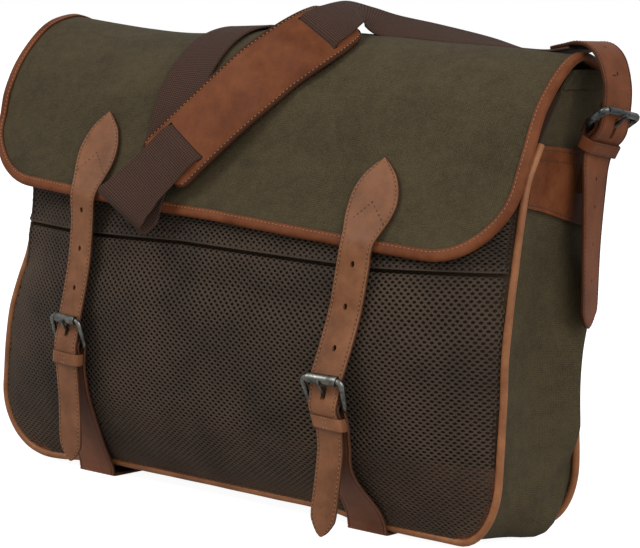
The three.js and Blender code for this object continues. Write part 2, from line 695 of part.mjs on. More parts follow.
// Rounded rectangle of a buckle's wire from its bar to its far rail
function framePath(half, length, place) {
  const steps = 3;
  const x = half - cornerTurn;
  const top = length - cornerTurn;
  const centres = [{ x, up: top }, { x: -x, up: top }, { x: -x, up: cornerTurn }, { x, up: cornerTurn }];
  return centres.flatMap((centre, quarter) => Array.from({ length: steps + 1 }, (_, k) => {
    const angle = (quarter + k / steps) * Math.PI / 2;
    return place(centre.x + cornerTurn * Math.cos(angle), centre.up + cornerTurn * Math.sin(angle));
  }));
}

// Sleeve round an axis along the given direction
function sleeve(point, direction, inside, outside, long, sides) {
  const profile = [[inside, -1], [outside, -1], [outside, 1], [inside, 1], [inside, -1]]
    .map(([r, end]) => new THREE.Vector2(r, end * long / 2));
  const geometry = new THREE.LatheGeometry(profile, sides);
  geometry.applyQuaternion(new THREE.Quaternion().setFromUnitVectors(axisY, direction));
  return geometry.translate(point.x, point.y, point.z);
}

// Box given by its middle, two of its directions and its half sizes
function block(centre, [first, second], halves) {
  const geometry = new THREE.BoxGeometry(2 * halves[0], 2 * halves[1], 2 * halves[2]);
  geometry.applyMatrix4(new THREE.Matrix4().makeBasis(first, second, first.clone().cross(second)));
  return geometry.translate(centre.x, centre.y, centre.z);
}

// Closed band of leather round a stack, given by its inner half sizes
function keeperBand(centre, directions, halves, height) {
  const outer = block(centre, directions, [halves[0] + keeperThick, halves[1] + keeperThick, height / 2]);
  const inner = block(centre, directions, [halves[0], halves[1], height]);
  return cut(outer, [inner]);
}

const prongWire = 1.3;
const prongRing = { clear: 0.35, thick: 1.65, wide: 3.6 };
const prongSlot = { up: 4.6, out: 4, length: 12, width: 4.2 };
const prongLine = [{ up: 1.5, out: 3 }, { up: frameLength / 2, out: 4.2 }, { up: frameLength + 1, out: 5.3 }];
const barMouth = { up: 1, half: 2.7, long: 6.5, deep: 8 };
const cornerTurn = 4;

// Eye of a prong round a bar of the given radius
function prongEye(point, direction, radius) {
  const inside = radius + prongRing.clear;
  return sleeve(point, direction, inside, inside + prongRing.thick, prongRing.wide, 12);
}

function addClosing(side, x) {
  const grid = strapGrid(side, x);
  const hang = leanClosing(side);
  const rise = leanClosing(side, [30, 78]);
  const slotDirections = [axisX, along];
  const holes = punchedHeights[side].map((z) => punch(
    new THREE.Vector3(x, follow(strapRows.slice().reverse(), "z", "y", z), z), axisY, punchedRadius,
  ));
  const slotHalves = [prongSlot.width / 2, prongSlot.length / 2, 3 * leather];
  const slot = block(barPoint(x, prongSlot.up, prongSlot.out), slotDirections, slotHalves);
  add(`closing_strap_${side}`, leaned(cut(strip(grid, leather), [...holes, slot]), hang), "leather");

  const billetCurve = curveOf(billetRows.map(({ y, z }) => ({ x, y, z })));
  const billetSteps = 2 * (billetRows.length - 1);
  const billetGrid = Array.from({ length: billetSteps + 1 }, (_, j) => {
    const p = billetCurve.getPoint(j / billetSteps);
    p.z = Math.max(p.z, leather / 2);
    return [-1, 1].map((u) => new THREE.Vector3(x + u * strapHalf, p.y, p.z));
  });
  const mouthHalves = [barMouth.half, barMouth.long, barMouth.deep];
  const mouth = block(barPoint(x, barMouth.up, 0), slotDirections, mouthHalves);
  add(`billet_${side}`, leaned(cut(strip(billetGrid, leather), [mouth]), rise), "leather");

  const frame = framePath(frameHalf, frameLength, (across, up) => barPoint(x + across, up, 0));
  add(`buckle_frame_${side}`, leaned(tube(frame, wire, 8, true), hang), "gunmetal");
  const rail = barPoint(x, frameLength, 0);
  const rollerSleeve = sleeve(rail, axisX, roller.inside, roller.outside, roller.long, 12);
  add(`buckle_roller_${side}`, leaned(rollerSleeve, hang), "gunmetal");

  const arm = tube(prongLine.map(({ up, out }) => barPoint(x, up, out)), prongWire, 8);
  const prong = joined([prongEye(barPoint(x, 0, 0), axisX, wire), arm]);
  add(`buckle_prong_${side}`, leaned(prong, hang), "gunmetal");

  const stack = new THREE.Vector3(x, closingKeeper.y, closingKeeper.z);
  const inside = [strapHalf + gap, closingKeeper.half];
  const keeper = keeperBand(stack, [axisX, axisY], inside, closingKeeper.height);
  add(`keeper_${side}`, leaned(keeper, hang), "leather");
}

// Side strap

function addPatch(side, sign) {
  const columns = gussetSteps;
  const rows = 4;
  const first = patchRows[0].v;
  const last = patchRows[patchRows.length - 1].v;
  const grid = Array.from({ length: rows + 1 }, (_, j) => Array.from({ length: columns + 1 }, (_, i) => {
    const v = THREE.MathUtils.lerp(first, last, i / columns);
    const low = follow(patchRows, "v", "low", v);
    const high = follow(patchRows, "v", "high", v);
    const station = { name: side, sign, z: THREE.MathUtils.lerp(low, high, j / rows), angle: Math.PI / 2 };
    return gussetPoint(station, v, -patchGap - leather / 2);
  }));
  add(`side_patch_${side}`, strip(grid, leather), "leather");
}

const sideAlong = new THREE.Vector3(sideRail.x - sideBar.x, 0, sideRail.z - sideBar.z).normalize();
const sideInward = new THREE.Vector3(-sideAlong.z, 0, sideAlong.x);
const sideLength = Math.hypot(sideRail.x - sideBar.x, sideRail.z - sideBar.z);
const sideSlot = { up: 6.6, out: 4.4 };
const sideMouth = { up: 1, half: 3, long: 7, deep: 8 };
const sideProngLine = [{ up: 1.5, out: 3 }, { up: sideLength / 2, out: 4 }, { up: sideLength + 2, out: 4.1 }];

function sideBarPoint(across, up, out) {
  return new THREE.Vector3(sideBar.x, sideY + across, sideBar.z)
    .addScaledVector(sideAlong, up).addScaledVector(sideInward, -out);
}

// Grid of a strip along a curve, its width along Y, tipped by each row's tilt and turned by its turn
function sideStrip(rows, half, steps) {
  const curve = curveOf(rows);
  const leans = rows.map((row, k) => ({ k, tilt: row.tilt ?? 0, turn: row.turn ?? 0 }));
  return Array.from({ length: steps + 1 }, (_, j) => {
    const k = (j / steps) * (rows.length - 1);
    const tilt = follow(leans, "k", "tilt", k);
    const turn = follow(leans, "k", "turn", k);
    const level = Math.cos(turn) * Math.cos(tilt);
    const across = new THREE.Vector3(Math.sin(turn), -level, Math.sin(tilt)).normalize();
    const p = curve.getPoint(j / steps);
    return [-1, 1].map((u) => p.clone().addScaledVector(across, u * half));
  });
}

function addSide() {
  const chapeLine = chapeRows.map((row) => ({ ...row, y: sideY }));
  const chape = sideStrip(chapeLine, chapeHalf, 2 * (chapeRows.length - 1));
  const directions = [axisY, sideAlong];
  const mouthHalves = [sideMouth.half, sideMouth.long, sideMouth.deep];
  const mouth = block(sideBarPoint(0, sideMouth.up, 0), directions, mouthHalves);
  add("side_chape", leaned(cut(strip(chape, leather), [mouth]), leanSide), "leather");

  const steps = 2 * (sideRows.length - 1);
  const body = sideStrip(sideRows, sideHalf, steps);
  const start = sideRows[0];
  const point = sidePoint.map(({ z, half }) => [-1, 1].map(
    (u) => new THREE.Vector3(
      start.x + u * half * Math.sin(start.turn), start.y - u * half * Math.cos(start.turn), z,
    ),
  ));
  const curve = curveOf(sideRows);
  const holes = sideHoles.map(({ at }) => {
    const t = at / (sideRows.length - 1);
    const across = curve.getTangent(t).cross(axisY).normalize();
    return punch(curve.getPoint(t), across, punchedRadius);
  });
  const slotHalves = [prongSlot.width / 2, prongSlot.length / 2, 3 * leather];
  const slot = block(sideBarPoint(0, sideSlot.up, sideSlot.out), directions, slotHalves);
  add("side_strap", leaned(cut(strip([...point, ...body], leather), [...holes, slot]), leanSide), "leather");

  const frame = framePath(sideFrameHalf, sideLength, (across, up) => sideBarPoint(across, up, 0));
  add("side_buckle_frame", leaned(tube(frame, sideWire, 8, true), leanSide), "gunmetal");
  const arm = tube(sideProngLine.map(({ up, out }) => sideBarPoint(0, up, out)), prongWire, 8);
  const prong = joined([prongEye(sideBarPoint(0, 0, 0), axisY, sideWire), arm]);
  add("side_buckle_prong", leaned(prong, leanSide), "gunmetal");

  const through = new THREE.Vector3(Math.cos(sideKeeper.lean), 0, -Math.sin(sideKeeper.lean));
  const stack = new THREE.Vector3(sideKeeper.x, sideY, sideKeeper.z);
  const inside = [sideHalf + gap, sideKeeper.half];
  const keeper = keeperBand(stack, [axisY, through], inside, sideKeeper.height);
  add("side_keeper", leaned(keeper, leanSide), "leather");
}

// Shoulder strap

// Row of a strip: its middle, the direction to its edge, and how much a slanted row is longer
const toRow = (p, r, wide = 1) => ({ p, r: r.clone().normalize(), wide });
const rowOf = ({ x, y, z, rx, ry, rz, wide }) => toRow(
  new THREE.Vector3(x, y, z), new THREE.Vector3(rx, ry, rz), wide,
);

// Rows smoothed by two edge curves, as the middle and the edge direction of each step
function smoothRows(rows, half, steps) {
  const edge = (sign) => new THREE.CatmullRomCurve3(
    rows.map(({ p, r, wide }) => p.clone().addScaledVector(r, sign * half * wide)), false, "catmullrom", 0.5,
  );
  const left = edge(-1);
  const right = edge(1);
  return Array.from({ length: steps + 1 }, (_, j) => [left.getPoint(j / steps), right.getPoint(j / steps)]);
}

// Rows of a flat fold that turns a strip from one heading to another, rolled towards a face
function flatFold(start, from, to, face) {
  const steps = 6;
  const axis = from.clone().add(to).normalize();
  const straight = from.dot(axis);
  const bent = from.clone().addScaledVector(axis, -straight);
  const turn = bent.length();
  bent.normalize();
  return Array.from({ length: steps + 1 }, (_, k) => {
    const angle = (k / steps) * Math.PI;
    const p = start.clone()
      .addScaledVector(axis, (straight / turn) * foldRadius * angle)
      .addScaledVector(bent, foldRadius * Math.sin(angle))
      .addScaledVector(face, foldRadius * (1 - Math.cos(angle)));
    return toRow(p, axis.clone().negate(), 1 / turn);
  });
}

const padMiddle = curveOf(padRows);
const padRight = curveOf(padRows.map((row) => ({ x: row.rx, y: row.ry, z: row.rz })));

function padFrame(k) {
  const t = k / (padRows.length - 1);
  const p = padMiddle.getPoint(t);
  const r = padRight.getPoint(t).normalize();
  const face = padMiddle.getTangent(t).cross(r).normalize();
  return { p, r, face: face.z > 0 ? face : face.negate() };
}

// Places along the pad: the webbing lies over its ends, passes its slits and runs under its middle
const [upperSlit, lowerSlit] = padSlits;
const padStops = [
  { k: 0.3, side: 1 }, { k: 0.75, side: 1 }, { k: upperSlit - slitRun, side: 1 },
  { k: upperSlit + slitRun, side: -1 }, { k: 2.6, side: -1 }, { k: 3.6, side: -1 }, { k: 4.6, side: -1 },
  { k: lowerSlit - slitRun, side: -1 }, { k: lowerSlit + slitRun, side: 1 }, { k: 6.6, side: 1 },
];
const slitStops = 4;
const slitSteps = 2 * slitStops - 1;
const padEnds = [{ k: 0, share: 0.62 }, { k: 0.12, share: 0.84 }, { k: 0.35, share: 0.97 }];

function padWebbingRows() {
  const over = padThick / 2 + 2.3 * gap + webbingThick / 2;
  return padStops.map(({ k, side }) => {
    const { p, r, face } = padFrame(k);
    return toRow(p.addScaledVector(face, side * over), r);
  });
}

function webbingRows() {
  const down = axisZ.clone().negate();
  const left = axisX.clone().negate();
  const forward = axisY.clone().negate();
  const flapPart = webbingFlapRows.map(({ x, s, lift, rx, rz }) => {
    const up = flapPoint(x, Math.max(s - 1, 0)).sub(flapPoint(x, Math.min(s + 1, flapLength))).normalize();
    const right = flapPoint(x + webbingHalf, s).sub(flapPoint(x - webbingHalf, s)).normalize();
    return toRow(onFlap(x, s, lift), right.multiplyScalar(rx).addScaledVector(up, rz));
  });
  const at = ({ x, y, z }) => new THREE.Vector3(x, y, z);
  return [
    ...webbingRightRows.map(rowOf),
    ...padWebbingRows(),
    ...webbingFoldRows.map(rowOf),
    ...flapPart,
    ...flatFold(at(backFold), down, left, axisY),
    ...webbingBackRows.map((row) => toRow(at(row), axisZ)),
    ...flatFold(at(cornerFold), forward, down, axisX),
    ...webbingEndRows.map((row) => toRow(at(row), axisY)),
  ];
}

// Pad: a strip with round ends and two slits cut to the webbing's path
function addShoulderStrap() {
  const rows = webbingRows();
  const steps = 2 * (rows.length - 1);
  add("webbing", strip(smoothRows(rows, webbingHalf, steps), webbingThick), "webbing");

  const last = padRows.length - 1;
  const inner = padStops.slice(1, -1).flatMap(({ k }, i) => [(padStops[i].k + k) / 2, k]);
  const stops = [
    ...padEnds,
    ...inner.map((k) => ({ k, share: 1 })),
    ...padEnds.map(({ k, share }) => ({ k: last - k, share })).reverse(),
  ];
  const grid = stops.map(({ k, share }) => {
    const { p, r } = padFrame(k);
    return [-1, 1].map((u) => p.clone().addScaledVector(r, u * share * padHalf));
  });
  const passage = smoothRows(rows, webbingHalf + 2 * gap, steps);
  const upper = 2 * webbingRightRows.length;
  const lower = upper + 2 * (padStops.length - slitStops);
  const slitThick = webbingThick + 3 * gap;
  const tools = [upper, lower].map((from) => strip(passage.slice(from, from + slitSteps), slitThick));
  add("shoulder_pad", cut(strip(grid, padThick), tools), "leather");
}

addFront();
addBack();
addGusset();
addPiping("front_piping", "front", pipingTop);
addPiping("back_piping", "back", backTop - pipingRadius);
addFlap();
addBinding();
addClosing("left", strapX.left);
addClosing("right", strapX.right);
addPatch("left", -1);
addPatch("right", 1);
addSide();
addShoulderStrap();

// The origin is under the middle of the whole bag
const box = new THREE.Box3().setFromObject(bag);
bag.position.set(-(box.min.x + box.max.x) / 2, -(box.min.y + box.max.y) / 2, -box.min.z);
bag.updateMatrixWorld(true);

export default bag;
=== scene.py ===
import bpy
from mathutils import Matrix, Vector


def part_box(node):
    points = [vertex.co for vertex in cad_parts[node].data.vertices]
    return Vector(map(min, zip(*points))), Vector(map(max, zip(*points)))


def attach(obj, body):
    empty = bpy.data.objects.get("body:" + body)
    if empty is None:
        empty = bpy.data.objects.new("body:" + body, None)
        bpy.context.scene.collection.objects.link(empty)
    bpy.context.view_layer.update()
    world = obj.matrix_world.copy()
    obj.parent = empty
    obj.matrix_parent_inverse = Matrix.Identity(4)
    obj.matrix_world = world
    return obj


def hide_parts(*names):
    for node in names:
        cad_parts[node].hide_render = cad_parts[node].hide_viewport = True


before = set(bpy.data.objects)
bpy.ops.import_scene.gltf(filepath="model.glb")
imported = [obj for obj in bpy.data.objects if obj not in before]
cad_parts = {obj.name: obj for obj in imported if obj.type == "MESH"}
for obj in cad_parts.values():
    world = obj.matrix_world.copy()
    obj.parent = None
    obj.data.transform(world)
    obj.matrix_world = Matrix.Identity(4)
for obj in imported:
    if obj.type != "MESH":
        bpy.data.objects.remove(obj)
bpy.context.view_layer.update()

import math

import bpy
import numpy as np
from mathutils import Matrix, Vector

# Game bag. Tables are in millimetres with their origin under the middle of the gusset; toFrame moves
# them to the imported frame, which is found from the right lower strap.
mm = 0.001
closing = {"left": -120, "right": 124.5, "half": 12.3, "billetEnd": 34}
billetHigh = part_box("billet_right")[1]
bagShift = np.array([
    billetHigh.x - (closing["right"] + closing["half"]) * mm,
    billetHigh.y - closing["billetEnd"] * mm,
    0,
])
axisX = np.array([1.0, 0, 0])
axisY = np.array([0, 1.0, 0])
axisZ = np.array([0, 0, 1.0])


def toFrame(points):
    return np.asarray(points, float) * mm + bagShift


# Small maths

def unit(vectors):
    return vectors / np.maximum(np.linalg.norm(vectors, axis=-1, keepdims=True), 1e-12)


def readTable(table, key, column, value):  # smooth curve through a table's rows
    keys = np.asarray(table[key], float)
    data = np.asarray(table[column], float)
    last = len(keys) - 1
    value = np.asarray(value, float)
    i = np.clip(np.searchsorted(keys, value) - 1, 0, last - 1)
    slope = lambda a, b: (data[b] - data[a]) / (keys[b] - keys[a])
    span = keys[i + 1] - keys[i]
    t = np.clip((value - keys[i]) / span, 0, 1)
    start = slope(np.maximum(i - 1, 0), i + 1) * span
    end = slope(i, np.minimum(i + 2, last)) * span
    rise = data[i + 1] - data[i]
    return data[i] + t * start + t ** 2 * (3 * rise - 2 * start - end) + t ** 3 * (start + end - 2 * rise)


def throughRows(points, places):  # curve through points, at places counted in rows
    points = np.asarray(points, float)
    padded = np.vstack([2 * points[:1] - points[1:2], points, 2 * points[-1:] - points[-2:-1]])
    places = np.clip(np.asarray(places, float), 0, len(points) - 1)
    i = np.minimum(places.astype(int), len(points) - 2)
    t = (places - i)[:, None]
    p0, p1, p2, p3 = (padded[i + k] for k in range(4))
    v1, v2 = (p2 - p0) / 2, (p3 - p1) / 2
    return (2 * p1 - 2 * p2 + v1 + v2) * t ** 3 + (3 * p2 - 3 * p1 - 2 * v1 - v2) * t ** 2 + v1 * t + p1


def steps(count, each):  # places along count rows, each row cut in so many
    return np.linspace(0, count - 1, (count - 1) * each + 1)


def lengthAlong(line):
    return np.concatenate([[0], np.cumsum(np.linalg.norm(np.diff(line, axis=0), axis=1))])


def evenly(line, spacing):  # the line again, with its points so far apart
    run = lengthAlong(line)
    places = np.linspace(0, run[-1], max(2, round(run[-1] / spacing) + 1))
    return np.stack([np.interp(places, run, line[:, k]) for k in range(line.shape[1])], axis=1)


def headings(line, loop=False):
    if loop:
        return unit(np.roll(line, -1, axis=0) - np.roll(line, 1, axis=0))
    return unit(np.gradient(line, axis=0))


def share(value, start, end):  # 0 at the start, 1 at the end and past it
    return np.clip((value - start) / (end - start), 0, 1)


def smooth(part):
    return part ** 2 * (3 - 2 * part)


def bump(x, middle, width):  # soft hill of height 1
    return np.exp(-((x - middle) / width) ** 2)


# Nodes and materials

def linear(code):  # sRGB hex to linear
    parts = [int(code[k:k + 2], 16) / 255 for k in (1, 3, 5)]
    return tuple(c / 12.92 if c <= 0.04045 else ((c + 0.055) / 1.055) ** 2.4 for c in parts) + (1.0,)


def setInputs(tree, node, inputs):  # links sockets and sets plain values
    for socket, value in inputs.items():
        if isinstance(value, bpy.types.NodeSocket):
            tree.links.new(value, node.inputs[socket])
        else:
            node.inputs[socket].default_value = value


def addNode(tree, kind, inputs=None, **settings):
    made = tree.nodes.new(kind)
    for name, value in settings.items():
        setattr(made, name, value)
    setInputs(tree, made, inputs or {})
    return made


def newMaterial(name, inputs):
    material = bpy.data.materials.new(name)
    material.use_nodes = True
    tree = material.node_tree
    shader = tree.nodes["Principled BSDF"]
    setInputs(tree, shader, inputs)
    return material, tree, shader


# Sizes in mm. Wave textures repeat 20 / (2 pi) times per unit of scale.
waveUnit = 2 * math.pi / 20
canvasLook = {"thread": 1.3, "clouds": 60, "slubs": 7, "specks": 1.1}
leatherLook = {"pores": 1.5, "mottle": 34, "wrinkle": 9}
netLook = {
    "across": 5.0, "rows": 2.25, "land": 0.86, "squeeze": 0.76, "hole": 0.68, "depth": 0.8, "tuck": 1.5,
    "hem": 8, "slit": [182.2, 182.5], "over": 1.0, "cord": 0.6, "edgeCord": 0.96, "clouds": 45, "yarn": 0.9,
}
liningLook = {"bandTop": 62, "soft": 3, "flecks": 3, "past": 1.8}
webbingLook = {"rib": 1.7, "flecks": 1.2}
metalLook = {"rubbed": 5, "scratch": 0.7}


def cottonCanvas(name, dark, light):
    # Plain-woven waxed cotton: matt, with a fine grid of threads and slubs. Threads are drawn at twice
    # their real 0.6 mm so that they show.
    material, tree, shader = newMaterial(name, {"Roughness": 0.92, "Specular IOR Level": 0.2})
    place = addNode(tree, "ShaderNodeTexCoord").outputs
    pairs = []
    for turn in (0.0, math.pi / 2):
        turned = addNode(tree, "ShaderNodeMapping", {"Vector": place["UV"], "Rotation": (0, 0, turn)})
        pairs.append(addNode(tree, "ShaderNodeTexWave", {
            "Vector": turned.outputs[0], "Scale": waveUnit / (canvasLook["thread"] * mm), "Distortion": 1.4,
            "Detail": 1.0, "Detail Scale": 2.0,
        }).outputs["Fac"])
    weave = addNode(tree, "ShaderNodeMath", {0: pairs[0], 1: pairs[1]}, operation="MULTIPLY").outputs[0]
    tone = weave
    slubs = None
    for size, detail, weight in (("clouds", 3, 1.6), ("slubs", 5, 1.2), ("specks", 2, 2.2)):
        noise = addNode(tree, "ShaderNodeTexNoise", {
            "Vector": place["Object"], "Scale": 1 / (canvasLook[size] * mm),
            "Detail": detail, "Roughness": 0.62,
        }).outputs[0]
        slubs = noise if size == "slubs" else slubs
        tone = addNode(tree, "ShaderNodeMath", {
            0: noise, 1: weight, 2: tone,
        }, operation="MULTIPLY_ADD").outputs[0]
    part = addNode(tree, "ShaderNodeMapRange", {"Value": tone, "From Min": 2.1, "From Max": 3.5}).outputs[0]
    colour = addNode(tree, "ShaderNodeMix", {
        0: part, 6: linear(dark), 7: linear(light),
    }, data_type="RGBA").outputs[2]
    height = addNode(tree, "ShaderNodeMath", {
        0: slubs, 1: 0.5, 2: weave,
    }, operation="MULTIPLY_ADD").outputs[0]
    bumped = addNode(tree, "ShaderNodeBump", {
        "Height": height, "Strength": 0.5, "Distance": 0.35 * mm,
    }).outputs[0]
    setInputs(tree, shader, {"Base Color": colour, "Normal": bumped})
    return material


def tannedHide(name, dark, light, edge, rough, shine):
    # Vegetable-tanned cowhide with a waxed face: mottled, fine pores, burnished dark edges, some sheen.
    # Pores are drawn larger than they are so that they show.
    material, tree, shader = newMaterial(name, {"Specular IOR Level": shine})
    place = addNode(tree, "ShaderNodeTexCoord").outputs["Object"]
    noises = []
    for size in ("mottle", "wrinkle"):
        noises.append(addNode(tree, "ShaderNodeTexNoise", {
            "Vector": place, "Scale": 1 / (leatherLook[size] * mm), "Detail": 4, "Roughness": 0.62,
        }).outputs[0])
    pores = addNode(tree, "ShaderNodeTexVoronoi", {
        "Vector": place, "Scale": 1 / (leatherLook["pores"] * mm),
    }).outputs["Distance"]
    tone = addNode(tree, "ShaderNodeMath", {
        0: noises[1], 1: 0.5, 2: noises[0],
    }, operation="MULTIPLY_ADD").outputs[0]
    part = addNode(tree, "ShaderNodeMapRange", {"Value": tone, "From Min": 0.55, "From Max": 0.98}).outputs[0]
    colour = addNode(tree, "ShaderNodeMix", {
        0: part, 6: linear(dark), 7: linear(light),
    }, data_type="RGBA").outputs[2]
    pits = addNode(tree, "ShaderNodeMapRange", {
        "Value": pores, "From Min": 0.0, "From Max": 0.35, "To Min": 0.2, "To Max": 0.0,
    }).outputs[0]
    colour = addNode(tree, "ShaderNodeMix", {
        0: pits, 6: colour, 7: linear(edge),
    }, data_type="RGBA").outputs[2]
    worn = addNode(tree, "ShaderNodeAttribute", attribute_name="edgeTone").outputs["Fac"]
    colour = addNode(tree, "ShaderNodeMix", {
        0: worn, 6: colour, 7: linear(edge),
    }, data_type="RGBA").outputs[2]
    gloss = addNode(tree, "ShaderNodeMapRange", {
        "Value": noises[1], "From Min": 0.3, "From Max": 0.7, "To Min": rough - 0.07, "To Max": rough + 0.1,
    }).outputs[0]
    height = addNode(tree, "ShaderNodeMath", {
        0: noises[1], 1: 1.6, 2: pores,
    }, operation="MULTIPLY_ADD").outputs[0]
    bumped = addNode(tree, "ShaderNodeBump", {
        "Height": height, "Strength": 0.3, "Distance": 0.3 * mm,
    }).outputs[0]
    setInputs(tree, shader, {"Base Color": colour, "Roughness": gloss, "Normal": bumped})
    return material


def openNet(name, dark, light):
    # Knitted polyester mesh: soft dull yarn, a little lighter on its raised loops.
    material, tree, shader = newMaterial(name, {"Roughness": 0.8, "Specular IOR Level": 0.3})
    place = addNode(tree, "ShaderNodeTexCoord").outputs["Object"]
    tone = 0.0
    for size in ("clouds", "yarn"):
        noise = addNode(tree, "ShaderNodeTexNoise", {
            "Vector": place, "Scale": 1 / (netLook[size] * mm), "Detail": 3,
        }).outputs[0]
        tone = addNode(tree, "ShaderNodeMath", {0: noise, 1: tone}, operation="ADD").outputs[0]
    part = addNode(tree, "ShaderNodeMapRange", {"Value": tone, "From Min": 0.75, "From Max": 1.25}).outputs[0]
    colour = addNode(tree, "ShaderNodeMix", {
        0: part, 6: linear(dark), 7: linear(light),
    }, data_type="RGBA").outputs[2]
    bumped = addNode(tree, "ShaderNodeBump", {
        "Height": noise, "Strength": 0.5, "Distance": 0.4 * mm,
    }).outputs[0]
    setInputs(tree, shader, {"Base Color": colour, "Normal": bumped})
    return material


def brownLining(name, dark, band):
    # Plain-woven lining seen through the net, with a browner strip along its foot.
    material, tree, shader = newMaterial(name, {"Roughness": 0.95, "Specular IOR Level": 0.1})
    place = addNode(tree, "ShaderNodeTexCoord").outputs["Object"]
    height = addNode(tree, "ShaderNodeSeparateXYZ", {0: place}).outputs[2]
    top, soft = liningLook["bandTop"] * mm, liningLook["soft"] * mm
    low = addNode(tree, "ShaderNodeMapRange", {
        "Value": height, "From Min": top, "From Max": top - soft,
    }).outputs[0]
    colour = addNode(tree, "ShaderNodeMix", {
        0: low, 6: linear(dark), 7: linear(band),
    }, data_type="RGBA").outputs[2]
    flecks = addNode(tree, "ShaderNodeTexNoise", {
        "Vector": place, "Scale": 1 / (liningLook["flecks"] * mm),
    }).outputs[0]
    part = addNode(tree, "ShaderNodeMapRange", {
        "Value": flecks, "From Min": 0.3, "From Max": 0.7, "To Max": 0.35,
    }).outputs[0]
    colour = addNode(tree, "ShaderNodeMix", {
        0: part, 6: colour, 7: linear(dark),
    }, data_type="RGBA").outputs[2]
    setInputs(tree, shader, {"Base Color": colour})
    return material


def ribbedWebbing(name, dark, light):
    # Woven cotton webbing: narrow ribs along it and fine cross threads, matt. Both are
    # drawn wider than they are so that they show.
    material, tree, shader = newMaterial(name, {"Roughness": 0.85, "Specular IOR Level": 0.12})
    place = addNode(tree, "ShaderNodeTexCoord").outputs
    tone = addNode(tree, "ShaderNodeTexNoise", {
        "Vector": place["Object"], "Scale": 1 / (webbingLook["flecks"] * mm), "Detail": 3, "Roughness": 0.65,
    }).outputs[0]
    for turn in (0.0, math.pi / 2):
        turned = addNode(tree, "ShaderNodeMapping", {"Vector": place["UV"], "Rotation": (0, 0, turn)})
        rib = addNode(tree, "ShaderNodeTexWave", {
            "Vector": turned.outputs[0], "Scale": waveUnit / (webbingLook["rib"] * mm),
            "Distortion": 0.8, "Detail": 1.0,
        }).outputs["Fac"]
        tone = addNode(tree, "ShaderNodeMath", {0: rib, 1: 0.8, 2: tone}, operation="MULTIPLY_ADD").outputs[0]
    part = addNode(tree, "ShaderNodeMapRange", {"Value": tone, "From Min": 0.5, "From Max": 2.0}).outputs[0]
    colour = addNode(tree, "ShaderNodeMix", {
        0: part, 6: linear(dark), 7: linear(light),
    }, data_type="RGBA").outputs[2]
    bumped = addNode(tree, "ShaderNodeBump", {
        "Height": tone, "Strength": 0.6, "Distance": 0.3 * mm,
    }).outputs[0]
    setInputs(tree, shader, {"Base Color": colour, "Normal": bumped})
    return material


def antiqueMetal(name, dark, light):
    # Cast zinc with an antique gunmetal plating, which is dark in its hollows; here it is dark with patches
    # rubbed lighter at random, not tied to the hollows.
    material, tree, shader = newMaterial(name, {"Metallic": 1.0})
    place = addNode(tree, "ShaderNodeTexCoord").outputs["Object"]
    rubbed, scratch = (addNode(tree, "ShaderNodeTexNoise", {
        "Vector": place, "Scale": 1 / (metalLook[size] * mm), "Detail": 4, "Roughness": 0.68,
    }).outputs[0] for size in ("rubbed", "scratch"))
    part = addNode(tree, "ShaderNodeMapRange", {
        "Value": rubbed, "From Min": 0.35, "From Max": 0.7,
    }).outputs[0]
    colour = addNode(tree, "ShaderNodeMix", {
        0: part, 6: linear(dark), 7: linear(light),
    }, data_type="RGBA").outputs[2]
    gloss = addNode(tree, "ShaderNodeMapRange", {
        "Value": rubbed, "From Min": 0.3, "From Max": 0.7, "To Min": 0.5, "To Max": 0.28,
    }).outputs[0]
    bumped = addNode(tree, "ShaderNodeBump", {
        "Height": scratch, "Strength": 0.15, "Distance": 0.2 * mm,
    }).outputs[0]
    setInputs(tree, shader, {"Base Color": colour, "Roughness": gloss, "Normal": bumped})
    return material


def waxedThread(name, code):
    # Waxed linen sewing thread: one colour, slightly shiny.
    return newMaterial(name, {"Roughness": 0.55, "Base Color": linear(code)})[0]


canvas = cottonCanvas("olive_cotton_canvas", "#2c2516", "#473d29")
leather = tannedHide("tan_cowhide", "#5b371f", "#794e33", "#26130a", 0.5, 0.18)
pipingLeather = tannedHide("light_tan_cowhide", "#6b4024", "#8c5a36", "#2a160b", 0.45, 0.25)
darkLeather = tannedHide("brown_cowhide", "#4f2915", "#6a3c23", "#1f0f07", 0.55, 0.08)
billetLeather = tannedHide("smooth_brown_cowhide", "#5a3524", "#714732", "#1f0f08", 0.5, 0.15)
net = openNet("brown_polyester_net", "#251c15", "#403225")
lining = brownLining("brown_lining", "#32261c", "#6b4531")
webbing = ribbedWebbing("ribbed_cotton_webbing", "#1a100c", "#49342a")
gunmetal = antiqueMetal("antique_gunmetal", "#3d3d3a", "#7a7a74")
blackMetal = antiqueMetal("black_gunmetal", "#1c1e1e", "#5e615e")
tanThread = waxedThread("tan_linen_thread", "#7f5632")
darkThread = waxedThread("brown_linen_thread", "#20130a")
oliveThread = waxedThread("olive_cotton_thread", "#4a4430")
print("materials made")


# Pieces as meshes

sharpAngle = 40


def addObject(name, data):
    made = bpy.data.objects.new(name, data)
    bpy.context.scene.collection.objects.link(made)
    return made


def newPiece(name, points, faces, material, uv=None, tone=None, sharp=sharpAngle):
    mesh = bpy.data.meshes.new(name)
    mesh.from_pydata(toFrame(points).tolist(), [], faces)
    mesh.materials.append(material)
    corners = np.empty(len(mesh.loops), int)
    mesh.loops.foreach_get("vertex_index", corners)
    if uv is not None:
        layer = mesh.uv_layers.new(name="UVMap")
        layer.data.foreach_set("uv", (np.asarray(uv) * mm)[corners].ravel())
    if tone is not None:
        mesh.attributes.new("edgeTone", "FLOAT", "POINT").data.foreach_set("value", np.asarray(tone, float))
    mesh.update()
    mesh.shade_smooth()
    mesh.set_sharp_from_angle(angle=math.radians(sharp))
    return addObject(name, mesh)


